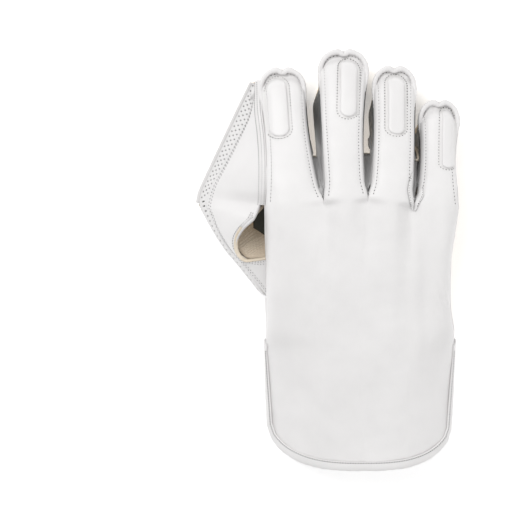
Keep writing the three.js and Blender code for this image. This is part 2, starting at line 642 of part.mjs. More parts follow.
// A closed ring of points carried along a list of frames, with flat ends.
function sweep(frames, section) {
  const rings = frames.map(({ at, out, up }) =>
    section.map(([a, b]) => at.clone().addScaledVector(out, a).addScaledVector(up, b)));
  const size = section.length;
  const points = rings.flat();
  const faces = [];
  for (let i = 0; i + 1 < rings.length; i += 1) {
    for (let j = 0; j < size; j += 1) {
      const k = (j + 1) % size;
      const [a, b, c, d] = [i * size + j, i * size + k, (i + 1) * size + k, (i + 1) * size + j];
      faces.push([a, b, c], [a, c, d]);
    }
  }
  const last = (rings.length - 1) * size;
  const flat = section.map(([a, b]) => new THREE.Vector2(a, b));
  const turn = Math.sign(THREE.ShapeUtils.area(flat));
  for (const triple of THREE.ShapeUtils.triangulateShape(flat, [])) {
    if (THREE.ShapeUtils.area(triple.map((k) => flat[k])) * turn < 0) triple.reverse();
    const [a, b, c] = triple;
    faces.push([a, c, b], [last + a, last + b, last + c]);
  }
  return solidOf(points, faces);
}

const roundSection = (halfOut, halfUp, sides) => Array.from({ length: sides }, (_, i) => {
  const angle = (i + 0.5) / sides * Math.PI * 2;
  return [halfOut * Math.cos(angle), halfUp * Math.sin(angle)];
});

// Frames along an edge: out leads away from the sheet, up is its outer side.
function edgeFrames(points, inside, depth) {
  return points.map((p, i) => {
    const next = points[Math.min(i + 1, points.length - 1)];
    const along = next.clone().sub(points[Math.max(i - 1, 0)]).normalize();
    const away = p.clone().sub(inside[i]).normalize();
    const up = away.cross(along).normalize();
    const out = along.clone().cross(up).normalize();
    return { at: p.clone().addScaledVector(up, -depth), out, up };
  });
}

// The binding of the gauntlet's free edge, wrapped over the back and the lining.
const cuffStart = -1.12;
const cuffSides = steps(5, cuffStart, -1.95);
const endShares = steps(13, 0.05, 0.95);
const edgeLine = [...cuffSides.map((s) => cuffPoint(0.0001, s)), ...endShares.map((t) => cuffPoint(t, -2)),
  ...[...cuffSides].reverse().map((s) => cuffPoint(0.9999, s))];
const insideLine = [...cuffSides.map((s) => cuffPoint(0.03, s)), ...endShares.map((t) => cuffPoint(t, -1.94)),
  ...[...cuffSides].reverse().map((s) => cuffPoint(0.97, s))];
const cuffThick = leatherWall + liningGap + liningWall;
const slotLow = -cuffThick - bindingSlack;
const bindingSection = [
  [-bindingWidth, bindingSlack + bindingWall], [seamGap, bindingSlack + bindingWall],
  [seamGap + bindingWall, bindingSlack], [seamGap + bindingWall, slotLow],
  [seamGap, slotLow - bindingWall], [-bindingWidth, slotLow - bindingWall],
  [-bindingWidth, slotLow], [seamGap, slotLow], [seamGap, bindingSlack], [-bindingWidth, bindingSlack],
];
const bindingFrames = edgeFrames(edgeLine, insideLine, 0);
pieces.gauntlet_binding = { solid: sweep(bindingFrames, bindingSection), colour: leatherWhite, rough: 0.5 };

// The piping of the web's outer edge.
const pipingLine = curve(webOuter, 10);
const pipingInside = curve(webInner, 10);
const pipingFrames = edgeFrames(pipingLine, pipingInside, 0).map((frame) => ({
  ...frame,
  at: frame.at.clone().addScaledVector(frame.out, pipingRadius).addScaledVector(frame.up, -leatherWall / 2),
}));
const pipingSection = roundSection(pipingRadius, leatherWall, 8);
pieces.web_piping = { solid: sweep(pipingFrames, pipingSection), colour: pipingGrey, rough: 0.5 };

// The rolled edge of each finger's tip and the oblong insert on its back.
function fingerTrim(i) {
  const finger = fingers[i];
  const rollAngles = steps(7, -halfTurn * 0.9, halfTurn * 0.9);
  const outline = rollAngles.map((angle) => backPoint(i, angle, 1));
  const inside = rollAngles.map((angle) => {
    const p = backPoint(i, angle, 1);
    return vec(mix(p.x, backPoint(i, 0, 1).x, 0.2), p.y - 3 * forward(angle), p.z);
  });
  const frames = edgeFrames(outline, inside, 0).map((frame) => ({
    ...frame,
    at: frame.at.clone().add(vec(0, 0, rollRadius + seamGap)).addScaledVector(frame.out, -rollRadius / 3),
  }));
  pieces[`${finger.name}_tip_roll`] = { solid: sweep(frames, roundSection(rollRadius, rollRadius, 6)),
    colour: leatherWhite, rough: 0.5 };

  const low = (crotchY(i, false) + crotchY(i + 1, false)) / 2;
  const reach = shoulderY(finger) - low;
  const top = 0.9;
  const bottom = (backPoint(i, 0, top).y - padLength - low) / reach;
  const rows = steps(6, -1, 1).map((b) => {
    const s = mix(bottom, top, (b + 1) / 2);
    const width = backPoint(i, halfTurn, s).x - backPoint(i, -halfTurn, s).x;
    const end = clamp((Math.abs(b) - 0.7) / 0.3, 0, 1);
    const half = finger.padShare * padWidth / width * Math.sqrt(1 - 0.92 * end * end);
    const angles = steps(3, -1, 1).map((a) => angleAt(clamp((a * half + finger.pad * 2 + 1) / 2, 0.02, 0.98)));
    return angles.map((angle) => backPoint(i, angle, s));
  });
  const sheet = surface([rows]);
  const normals = normalsOf(sheet);
  const points = sheet.points.map((p, k) => p.clone().addScaledVector(normals[k], seamGap + padRise));
  const raised = { points, faces: sheet.faces };
  pieces[`${finger.name}_insert`] = { solid: thicken(raised, padRise), colour: padWhite, rough: 0.3 };
}
fingers.forEach((_, i) => fingerTrim(i));

// What is trimmed clear of what: the later piece gives way to the earlier ones.
const sewing = [
  ['palm_facing', 'back_panel'],
  ['index_middle_wall', 'back_panel', 'palm_facing'],
  ['middle_ring_wall', 'back_panel', 'palm_facing'],
  ['ring_little_wall', 'back_panel', 'palm_facing'],
  ['little_side_wall', 'back_panel', 'palm_facing'],
  ['index_side_wall', 'back_panel', 'palm_facing'],
  ['index_seam_strip', 'back_panel', 'index_side_wall', 'palm_facing'],
  ['web_panel', 'back_panel', 'index_seam_strip', 'index_side_wall', 'palm_facing'],
  ['web_edge_strip', 'web_panel', 'index_seam_strip', 'back_panel', 'index_side_wall', 'palm_facing'],
  ['thumb_gusset', 'web_panel', 'web_edge_strip', 'back_panel', 'palm_facing'],
  ['web_facing', 'web_panel', 'web_edge_strip', 'index_seam_strip', 'index_side_wall', 'back_panel',
    'palm_facing', 'thumb_gusset'],
  ['thumb_facing', 'web_panel', 'web_edge_strip', 'thumb_gusset', 'web_facing', 'palm_facing',
    'index_side_wall', 'back_panel'],
  ['heel_panel', 'back_panel', 'web_panel', 'thumb_gusset', 'thumb_facing', 'palm_facing'],
  ['wrist_band', 'back_panel', 'palm_facing', 'heel_panel', 'little_side_wall'],
  ['gauntlet_lining', 'back_panel', 'wrist_band'],
  ['gauntlet_binding', 'back_panel', 'gauntlet_lining', 'wrist_band', 'heel_panel', 'little_side_wall'],
  ['web_piping', 'web_edge_strip', 'web_facing', 'web_panel', 'thumb_gusset', 'index_seam_strip', 'back_panel',
    'index_side_wall', 'palm_facing', 'thumb_facing'],
  ...fingers.flatMap((finger, i) => [
    [`${finger.name}_tip_roll`, 'back_panel', 'palm_facing', 'index_seam_strip', 'index_side_wall', 'web_panel',
      'web_facing', 'web_edge_strip', 'little_side_wall', 'index_middle_wall', 'middle_ring_wall',
      'ring_little_wall'],
    [`${finger.name}_insert`, 'back_panel'],
  ]),
];
for (const [name, ...others] of sewing) {
  for (const other of others) {
    pieces[name].solid = pieces[name].solid.subtract(tools[other]).subtract(pieces[other].solid);
  }
}

// The corners of a solid's largest body: trimming can leave crumbs beside it, and slivers
// that vanish when corners snap together.
function largestBody(solid) {
  const { vertProperties, triVerts, numProp } = solid.simplify(sliver).getMesh();
  const snap = (value) => Math.round(value / crumb) * crumb;
  const corner = (v) => vec(...vertProperties.subarray(v * numProp, v * numProp + 3).map(snap));
  const parent = Array.from({ length: vertProperties.length / numProp }, (_, i) => i);
  const root = (v) => {
    while (parent[v] !== v) {
      parent[v] = parent[parent[v]];
      v = parent[v];
    }
    return v;
  };
  for (let i = 0; i < triVerts.length; i += 3) {
    parent[root(triVerts[i + 1])] = root(triVerts[i]);
    parent[root(triVerts[i + 2])] = root(triVerts[i]);
  }
  const bodies = new Map();
  const flat = new Map();
  for (let i = 0; i < triVerts.length; i += 3) {
    const corners = [...triVerts.subarray(i, i + 3)].map(corner);
    const [a, b, c] = corners;
    if (a.equals(b) || b.equals(c) || c.equals(a)) continue;
    const key = corners.map((p) => p.toArray().join()).sort().join('|');
    flat.set(key, (flat.get(key) ?? 0) + 1);
    const body = bodies.get(root(triVerts[i])) ?? { volume: 0, corners: [] };
    body.volume += corners[0].dot(corners[1].clone().cross(corners[2])) / 6;
    body.corners.push(...corners);
    bodies.set(root(triVerts[i]), body);
  }
  const { corners } = [...bodies.values()].reduce((best, body) => (body.volume > best.volume ? body : best));
  const kept = [];
  for (let i = 0; i < corners.length; i += 3) {
    const triple = corners.slice(i, i + 3);
    if (flat.get(triple.map((p) => p.toArray().join()).sort().join('|')) === 1) kept.push(...triple);
  }
  return kept;
}

function meshOf(name, { solid, colour, rough }) {
  const spots = new Float32Array(largestBody(solid).flatMap((p) => [p.x, p.y, p.z]));
  const geometry = new THREE.BufferGeometry();
  geometry.setAttribute('position', new THREE.BufferAttribute(spots, 3));
  geometry.computeVertexNormals();
  const material = new THREE.MeshStandardMaterial({ color: colour, roughness: rough, metalness: 0 });
  const mesh = new THREE.Mesh(geometry, material);
  mesh.name = name;
  return mesh;
}

const glove = new THREE.Group();
for (const [name, piece] of Object.entries(pieces)) glove.add(meshOf(name, piece));

// The origin is the middle of the box on the surface that the glove lies on.
const box = new THREE.Box3().setFromObject(glove);
const middle = box.getCenter(vec());
glove.position.set(-middle.x, -middle.y, -box.min.z);

export default glove;
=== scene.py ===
import math

import bpy
import numpy as np
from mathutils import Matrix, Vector


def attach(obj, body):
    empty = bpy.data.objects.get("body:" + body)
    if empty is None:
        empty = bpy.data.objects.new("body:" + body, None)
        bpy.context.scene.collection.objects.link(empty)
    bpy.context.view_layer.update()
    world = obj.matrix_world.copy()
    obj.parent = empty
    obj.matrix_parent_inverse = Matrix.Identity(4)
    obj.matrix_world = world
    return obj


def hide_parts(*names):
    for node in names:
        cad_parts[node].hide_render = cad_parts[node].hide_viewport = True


bl_info = {
    "name": "Padded Catching Glove",
    "version": (1, 0, 0),
    "blender": (4, 5, 0),
    "location": "View3D > Sidebar > Glove",
    "description": "Builds the leather, rubber, padding and stitching of a wicketkeeping glove",
    "category": "Object",
}

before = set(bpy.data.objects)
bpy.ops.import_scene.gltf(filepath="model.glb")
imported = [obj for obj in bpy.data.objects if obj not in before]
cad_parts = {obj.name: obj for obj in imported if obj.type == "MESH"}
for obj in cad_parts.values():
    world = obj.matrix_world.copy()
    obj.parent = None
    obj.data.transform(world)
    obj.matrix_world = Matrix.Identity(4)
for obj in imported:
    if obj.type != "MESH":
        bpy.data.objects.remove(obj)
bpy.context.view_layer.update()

# Sizes in millimetres, the same as the solid model's where it has them. X runs towards the little finger, Y
# towards the finger tips, Z up. SHIFT moves them into the frame.
SHIFT = np.array([0.275, 0.61, 0.0])
HAND_WIDTH, PALM_LENGTH, FINGER_LENGTH, CUFF_LENGTH, WEB_REACH = 147.0, 100.0, 115.0, 102.0, 52.0
KNUCKLE, TIP, SIDE_SEAM = 72.0, 34.0, 30.0
LEATHER, RUBBER, LINING, LINING_GAP = 2.4, 2.2, 4.2, 1.3
FINGER_DEPTH, FINGER_ROUND, TIP_ROUND, FACING_ROUND = 30.0, 9.0, 4.5, 6.0
TIP_DEPTH, TIP_TUCK, SLIT, PALM_SLIT = 18.0, 2.0, 3.0, 0.3
PAD_LENGTH, PAD_WIDTH, PAD_TOP, CORNER, CORNER_POWER, SQUARENESS = 46.0, 13.0, 0.93, 48.0, 2.8, 0.8
WRIST_ARCH, CUFF_ARCH, WRIST_BEND, WRIST_EASE = 0.78, 0.52, 23.0, 0.08
CUFF_END = -(FINGER_LENGTH + PALM_LENGTH + CUFF_LENGTH) / 2
WRIST = CUFF_END + CUFF_LENGTH
KNUCKLES = WRIST + PALM_LENGTH
LEFT = (WEB_REACH - HAND_WIDTH) / 2
NAMES = ("index", "middle", "ring", "little")
# Columns: base, mid and tip edges left and right, length, knuckle, wrist, lean, pad, pad share.
FINGERS = np.array([
    [0, 0.291, 0.004, 0.238, -0.03, 0.215, 0.878, 0.92, 0.7, -0.02, -0.17, 1.08],
    [0.291, 0.512, 0.278, 0.504, 0.268, 0.54, 1, 0.99, 0.79, -0.15, 0.13, 0.92],
    [0.512, 0.745, 0.54, 0.765, 0.547, 0.785, 0.889, 0.97, 0.78, -0.05, 0.03, 0.92],
    [0.745, 0.985, 0.782, 0.972, 0.785, 1, 0.663, 0.83, 0.66, -0.12, 0.25, 0.68]])
LENGTH, KNUCKLE_RISE, WRIST_RISE, LEAN, PAD, PAD_SHARE = 6, 7, 8, 9, 10, 11
CROTCH = (-0.035, 0, 0.018, -0.022, -0.045)
# Columns: along, left, right, seam.
SIDES = np.array([[0, 0, 0.985, 1.5], [0.4, 0.003, 0.955, 1.12], [0.8, 0.005, 0.955, 0.95],
                  [1, 0.003, 0.98, 0.8], [1.25, 0.004, 0.99, 0.32], [1.6, 0.008, 0.985, 0.22],
                  [2, 0.02, 0.97, 0.2]])
# Columns: along, left, rise, side.
PALM = np.array([[-0.345, 0, 0.47, 0.47], [0.1, 0.012, 0.42, 0.4], [0.28, 0.1, 0.35, 0.33],
                 [0.4, 0.19, 0.29, 0.26], [0.5, 0.24, 0.23, 0.2], [0.7, 0.29, 0.12, 0.1],
                 [0.86, 0.33, 0.03, 0.035], [1, 0.37, 0.012, 0.012]])
# Columns: along, then out, along and rise of the perforated strip's inner and outer edges.
WEB = np.array([[0.9, 0.135, 0.84, 0.36, 0.186, 0.905, 0.33], [0.7, 0.26, 0.64, 0.33, 0.394, 0.69, 0.26],
                [0.48, 0.438, 0.468, 0.28, 0.587, 0.483, 0.19], [0.26, 0.63, 0.28, 0.22, 0.795, 0.26, 0.13],
                [0.07, 0.795, 0.126, 0.18, 0.958, 0.074, 0.1], [-0.03, 0.85, 0.045, 0.17, 0.988, 0.0, 0.1]])
# Columns: out, down and rise of the hole's rim, then of the seam, then how proud the leather is.
THUMB_BACK = np.array([
    [0.186, 0.135, 0.67, 0.869, 0.03, 0.18, 0.02], [0.349, 0.225, 0.57, 0.81, 0.105, 0.2, 0.05],
    [0.423, 0.308, 0.48, 0.735, 0.195, 0.22, 0.09], [0.409, 0.383, 0.44, 0.617, 0.293, 0.25, 0.11],
    [0.305, 0.443, 0.43, 0.453, 0.413, 0.27, 0.1], [0.156, 0.443, 0.44, 0.26, 0.54, 0.29, 0.08],
    [-0.06, 0.425, 0.46, -0.06, 0.74, 0.36, 0]])
GUSSET = np.array([
    [0.85, -0.046, 0.17, 0.988, -0.002, 0.1], [0.86, 0, 0.17, 0.97, 0.035, 0.1],
    [0.8, 0.11, 0.2, 0.84, 0.17, 0.11], [0.7, 0.23, 0.235, 0.71, 0.28, 0.12],
    [0.55, 0.35, 0.26, 0.57, 0.385, 0.12],
    [0.36, 0.47, 0.28, 0.41, 0.48, 0.12], [0.19, 0.585, 0.31, 0.22, 0.6, 0.13],
    [0.03, 0.7, 0.3, 0.04, 0.7, 0.13], [-0.2, 0.76, 0.1, -0.25, 0.745, 0.06],
    [-0.45, 0.8, 0.05, -0.5, 0.77, 0.035], [-0.66, 0.85, 0.035, -0.7, 0.82, 0.03],
    [-0.85, 0.9, 0.03, -0.87, 0.87, 0.025]])
GUSSET_CORNER = np.array([[0.96, 0.01, 0.06]])
HEEL = np.array([
    [0.0, 0.73, 0.35, -0.01, 1, 0.31], [-0.08, 0.745, 0.18, -0.04, 1, 0.17],
    [-0.2, 0.775, 0.1, -0.12, 1, 0.07], [-0.45, 0.82, 0.05, -0.38, 1, 0.035],
    [-0.66, 0.87, 0.035, -0.7, 1, 0.03], [-0.88, 0.93, 0.03, -1.02, 1, 0.03]])
# Columns: out, down and rise of the seam, belly, fold and rim of the thumb's rubber.
THUMB_RUBBER = np.array([
    [0.86, 0.09, 0.06, 0.78, 0.08, 0.02, 0.68, 0.05, 0.1, 0.8, 0.02, 0.2],
    [0.646, 0.173, 0.03, 0.54, 0.13, 0, 0.4, 0.083, 0.12, 0.66, 0.13, 0.29],
    [0.453, 0.27, 0.02, 0.28, 0.2, 0, 0.07, 0.113, 0.15, 0.46, 0.27, 0.36],
    [0.29, 0.36, 0.02, 0.1, 0.27, 0, -0.141, 0.165, 0.16, 0.38, 0.365, 0.36],
    [0.126, 0.443, 0.02, -0.08, 0.35, 0, -0.31, 0.24, 0.16, 0.28, 0.42, 0.36],
    [-0.052, 0.51, 0.02, -0.25, 0.42, 0, -0.43, 0.308, 0.16, 0.14, 0.42, 0.37],
    [-0.23, 0.578, 0.02, -0.38, 0.49, 0, -0.52, 0.385, 0.12, -0.1, 0.41, 0.36],
    [-0.423, 0.645, 0.02, -0.5, 0.56, 0, -0.57, 0.47, 0.05, -0.5, 0.43, 0.24],
    [-0.6, 0.705, 0.02, -0.64, 0.65, 0, -0.67, 0.57, 0.03, -0.64, 0.51, 0.17],
    [-0.765, 0.765, 0.02, -0.78, 0.74, 0, -0.79, 0.71, 0.03, -0.8, 0.68, 0.09],
    [-0.9, 0.83, 0.02, -0.905, 0.84, 0, -0.91, 0.85, 0.02, -0.915, 0.86, 0.04]])
SEAM_STRIP, STRIP_FALL, STRIP_CROWN, BAND_LENGTH, PRESS = 5.0, 1.5, 0.7, 10.0, 1.2
CORNER_DROP, INSERT_PLUMP, EDGE_INSET, UPRIGHT = (10, 7, 3), 1.06, 0.8, 0.6
CHANNELS = np.linspace(0.12, 0.88, 7)
HALF_TURN = math.pi / 2
SEAM_INSET, INSERT_SEAM = 3.4, 2.2

# Soft forms of the back, each a height in mm and then how wide or how long a wave it is.
INSERT_SINK, INSERT_SINK_WIDTH, RING_SINK, RING_SINK_WIDTH = 0.9, 0.8, 0.5, 1.6
SEAM_GROOVE, SEAM_GROOVE_WIDTH = 0.55, 0.9
GATHER, GATHER_REACH, GATHER_COUNT = 0.45, 5.0, 11
SLACK, SLACK_WAVE, FINE_SLACK, FINE_SLACK_WAVE = 0.8, 46.0, 0.28, 17.0
TIP_FALL, TIP_FALL_INSET, TIP_FALL_WIDTH = 3.4, 5.5, 4.0
CREASE, CREASE_PLACE, CREASE_WIDTH = 1.1, (86.0, -30.0), (8.0, 12.0)
VALLEY, VALLEY_WIDTH, VALLEY_LENGTH = 1.5, 9.0, 22.0
VALLEYS = ((-6.0, 14.0), (31.0, 12.0), (63.0, 10.0))

# Smooth steps along a strip: where each starts and how long it is. The back's edges round down to
# the tip, the tip rounds over and closes, the cuff's corners start and the strips join one arch.
EDGE_DOWN, BACK_TIP, BACK_CLOSE = (0.7, 0.3), (0.55, 0.45), (0.86, 0.14)
CUFF_CORNERS, ONE_ARCH = (1.15, 0.85), (0.6, 1.0)
# The rubber's tip rounds over and closes, its lean ends and its tuck under the back starts.
PALM_TIP, PALM_CLOSE, LEAN_END, TUCK_START = (0.45, 0.55), (0.88, 0.12), (0.62, 0.3), (0.7, 0.3)

# The floor's height as a lower bound for points, and the same with the web's rubber above it.
ABOVE_FLOOR, ABOVE_FLOOR_WEB = (-1e9, -1e9, 0.0), (-1e9, -1e9, 0.6)

# Points are rounded to this before equal ones are merged.
MERGE = 0.004

# Where the photograph's pixels lie on the glove: mm a pixel and the middle, at mid height.
PIXEL, PICTURE, VIEW_HEIGHT, MID_HEIGHT, SENSOR = 0.75, 512, 1100.0, 45.0, 36.0
VIEW_CENTRE = np.array([-54.56, 2.2])


def mix(a, b, t):
    """a at t 0, b at t 1."""
    return a + (b - a) * t


def smooth(t):
    """0 below 0, 1 above 1, and a smooth step between."""
    t = np.clip(t, 0.0, 1.0)
    return t * t * (3 - 2 * t)


def ease(t, step):
    """The same step from where it starts, over its length."""
    return smooth((t - step[0]) / step[1])


def bump(x, width):
    """A smooth hill, 1 at x 0, that many wide to either side."""
    return np.exp(-(x / width) ** 2)


def points(x, y, z):
    """Whole arrays of points from arrays of coordinates."""
    return np.stack(np.broadcast_arrays(x, y, z), -1).astype(float)


def column(table, key, at):
    """A table's column at places along it, with its corners rounded by a mean of five."""
    spread = 0.03
    return sum(np.interp(at + k * spread, table[:, 0], table[:, key]) for k in (-2, -1, 0, 1, 2)) / 5


def ripple(x, y, wave, seed):
    """A soft uneven surface from -1 to 1: six sine waves of fixed directions and phases, summed."""
    draw = np.random.RandomState(seed)
    total = 0.0
    for _ in range(6):
        turn, phase, scale = draw.rand() * math.tau, draw.rand() * math.tau, draw.uniform(0.6, 1.6)
        total = total + np.sin((x * math.cos(turn) + y * math.sin(turn)) / wave * scale * math.tau + phase)
    return total / 6


def across(angle):
    """Place across a squared-off arc: the angle's sine with its size to a power under 1."""
    return np.sign(angle) * np.abs(np.sin(angle)) ** SQUARENESS


def forward(angle):
    """Height on a squared-off arc: the angle's cosine with its size to the same power."""
    return np.abs(np.cos(angle)) ** SQUARENESS


def angle_at(t):
    """The section angle whose place across the strip is t, from 0 to 1."""
    t = np.asarray(t, float)
    return np.sign(t - 0.5) * np.arcsin(np.clip(np.abs(2 * t - 1), 0, 1) ** (1 / SQUARENESS))


def crotch(edge, palm_side=False):
    """Y of the crotch at an edge: the knuckles' line and a share of the finger length."""
    return KNUCKLES + (CROTCH[edge] + (PALM_SLIT if palm_side else 0)) * FINGER_LENGTH


def shoulder(i):
    """Y where a finger's rounded tip starts: its own length past the knuckles, less the tip's depth."""
    return KNUCKLES + FINGERS[i, LENGTH] * FINGER_LENGTH - TIP_DEPTH


def finger_edge(i, side, s):
    """An edge of a finger: a parabola through its places at the crotch, halfway and at the tip."""
    base, middle, tip = FINGERS[i, side], FINGERS[i, side + 2], FINGERS[i, side + 4]
    share = base * (1 - s) * (1 - 2 * s) + middle * 4 * s * (1 - s) + tip * s * (2 * s - 1)
    inner = i > 0 if side == 0 else i < 3
    return LEFT + share * HAND_WIDTH + (1 if side == 0 else -1) * SLIT / 2 * inner * smooth(s * 7)


def finger_width(i, s):
    """A finger's width at a place along it."""
    s = np.clip(s, 0, 1)
    return finger_edge(i, 1, s) - finger_edge(i, 0, s)


def hand_edge(i, side, down):
    """The same edge below the crotches, spreading out to an even share of the width."""
    left, right = column(SIDES, 1, down), column(SIDES, 2, down)
    edge = i + side
    if edge == 0:
        return LEFT + left * HAND_WIDTH
    if edge == 4:
        return LEFT + right * HAND_WIDTH
    return LEFT + mix(FINGERS[i, side], mix(left, right, edge / 4), smooth(down)) * HAND_WIDTH


def crown(i, s):
    """Height of a strip's middle: the finger falls to its tip, the hand eases to the wrist."""
    rise, wrist = FINGERS[i, KNUCKLE_RISE], FINGERS[i, WRIST_RISE]
    up = mix(rise * KNUCKLE, TIP, np.clip(s, 0, 1) ** 1.5)
    down = np.clip(-s, 0, 1)
    over = np.clip(-s - 1, 0, 0.25)
    hand = mix(rise, wrist, smooth(down) * 0.4 + 0.6 * down * down + 1.2 * over - 2.4 * over * over) * KNUCKLE
    return np.where(s >= 0, up, hand)


def edge_height(i, side, s):
    """Height of a strip's edge: low between fingers, flush in the hand, at the seam outside."""
    own = crown(i, s) - mix(FINGER_ROUND, TIP_ROUND, ease(s, EDGE_DOWN))
    edge = i + side
    if edge in (0, 4):
        seam = column(SIDES, 3, np.maximum(-s, 0)) * SIDE_SEAM
        return np.where(s >= 0, mix(seam, own, smooth(s * 4)), seam)
    between = (crown(i, s) + crown(i - 1 if side == 0 else i + 1, s)) / 2
    low = between - FINGER_ROUND * mix(0.5, 1, smooth(s * 8))
    hand = between - FINGER_ROUND * mix(0.5, 0.03, smooth(-s * 2.2))
    return np.where(s < 0, hand, mix(low, own, smooth(s * 4)))


def back(i, t, s):
    """The glove's back: strip i, t across it and s along it, 1 at the tip, -1 at the wrist, -2 at the end.

    Across a strip the height is the crown less the drop to the edge times one less a squared-off
    cosine. Past the wrist the strips share one arch, which falls with the cube of the distance
    from the middle, and their ends follow a squared-off ellipse. At the wrist the change of pace
    along the strip is rounded by the difference of a hypotenuse and its side.
    """
    t, s = np.broadcast_arrays(np.asarray(t, float), np.asarray(s, float))
    angle = angle_at(t)
    top, ahead = crown(i, s), forward(angle)
    drop = top - np.where(angle < 0, edge_height(i, 0, s), edge_height(i, 1, s))
    low = mix(crotch(i), crotch(i + 1), t)
    sf = np.maximum(s, 0)
    xf = mix(finger_edge(i, 0, sf), finger_edge(i, 1, sf), t)
    yf = mix(low, shoulder(i), sf) + TIP_DEPTH * ahead * ease(sf, BACK_TIP)
    zf = top - drop * (1 - ahead * (1 - ease(sf, BACK_CLOSE)))
    down = np.maximum(-s, 0)
    xh = mix(hand_edge(i, 0, down), hand_edge(i, 1, down), t)
    whole = np.clip((xh - LEFT) / HAND_WIDTH * 2 - 1, -1, 1)
    corner = CORNER * np.maximum(1 - np.abs(whole) ** CORNER_POWER, 0) ** (1 / CORNER_POWER)
    straight = mix(WRIST, CUFF_END + CORNER, down - 1)
    yh = np.where(down <= 1, mix(low, WRIST, down), straight - corner * ease(down, CUFF_CORNERS))
    bend = np.hypot(down - 1, WRIST_EASE) - np.abs(down - 1)
    yh = yh + WRIST_BEND * bend * np.clip(down * (2 - down), 0, 1)
    arch = mix(WRIST_ARCH, CUFF_ARCH, smooth(down - 1)) * KNUCKLE
    arched = mix(column(SIDES, 3, down) * SIDE_SEAM, arch, 1 - np.abs(whole) ** 3)
    outer = (angle < 0) if i == 0 else (angle > 0) if i == 3 else np.zeros(angle.shape, bool)
    soft = 0.5 + 0.5 * np.cos(math.pi * (2 * t - 1))
    rounded = np.where(outer, ahead, mix(ahead, soft, smooth(down * 22)))
    zh = mix(top - drop * (1 - rounded), arched, ease(down, ONE_ARCH))
    return np.where((s >= 0)[..., None], points(xf, yf, zf), points(xh, yh, zh))


def pad_span(i):
    """The place along a finger of its insert's middle, and how far one mm is there."""
    low = (crotch(i) + crotch(i + 1)) / 2
    top = PAD_TOP
    bottom = (back(i, 0.5, top)[1] - PAD_LENGTH - low) / (shoulder(i) - low)
    return (top + bottom) / 2, (top - bottom) / PAD_LENGTH


def pad_place(i, t, s):
    """Across and along distances from the middle of a finger's insert, in mm, and its half width."""
    middle, scale = pad_span(i)
    return (t - 0.5 - FINGERS[i, PAD]) * finger_width(i, s), (s - middle) / scale, insert_half(i)


def pad_edge(i, t, s):
    """Distance outwards from the insert's outline, which is a bar with round ends."""
    side, along, half = pad_place(i, t, s)
    return np.hypot(side, np.maximum(np.abs(along) - (PAD_LENGTH / 2 - half), 0)) - half


def skin(i, t, s):
    """The back with its soft forms added to its height.

    Round an insert and along the seams it sinks by bumps, at the tip it is gathered by a sine of
    the direction, slack leather is two ripples, and below the crotches it has soft valleys.
    """
    t, s = np.broadcast_arrays(np.asarray(t, float), np.asarray(s, float))
    p = back(i, t, s)
    x, y = p[..., 0], p[..., 1]
    inside = finger_width(i, s) * (0.5 - np.abs(t - 0.5))
    on_finger = smooth(s * 6)
    free = smooth(np.minimum(t, 1 - t) * 9)
    beyond = pad_edge(i, t, s)
    sink = (INSERT_SINK * bump(beyond - INSERT_SINK_WIDTH, INSERT_SINK_WIDTH)
            + RING_SINK * bump(beyond - INSERT_SEAM, RING_SINK_WIDTH)) * on_finger
    sink = sink + SEAM_GROOVE * bump(inside - SEAM_INSET, SEAM_GROOVE_WIDTH) * on_finger
    pinch = back(i, 0.5, 1.0)
    dx, dy = x - pinch[0], y - pinch[1]
    around = bump(np.hypot(dx, dy) - GATHER_REACH, GATHER_REACH)
    gather = np.sin(np.arctan2(dx, -dy) * GATHER_COUNT) * GATHER * around * smooth(s * 2)
    slack = ripple(x, y, SLACK_WAVE, 3 + i) * SLACK + ripple(x, y, FINE_SLACK_WAVE, 11 + i) * FINE_SLACK
    to_tip = back(i, t, np.ones(t.shape))[..., 1] - y
    hang = TIP_FALL * bump(to_tip - TIP_FALL_INSET, TIP_FALL_WIDTH) * smooth((s - 0.6) * 4) * free
    crease = CREASE * np.sin((x + 0.35 * y) * 0.95) \
        * bump(x - CREASE_PLACE[0], CREASE_WIDTH[0]) * bump(y - CREASE_PLACE[1], CREASE_WIDTH[1])
    valley = sum(VALLEY * bump(x - cx, VALLEY_WIDTH) * bump(y - cy, VALLEY_LENGTH) for cx, cy in VALLEYS)
    lift = slack * free + gather - sink - hang - valley * smooth(-s * 5) * smooth((1 + s) * 3) - crease
    return p + lift[..., None] * np.array([0, 0, 1.0])


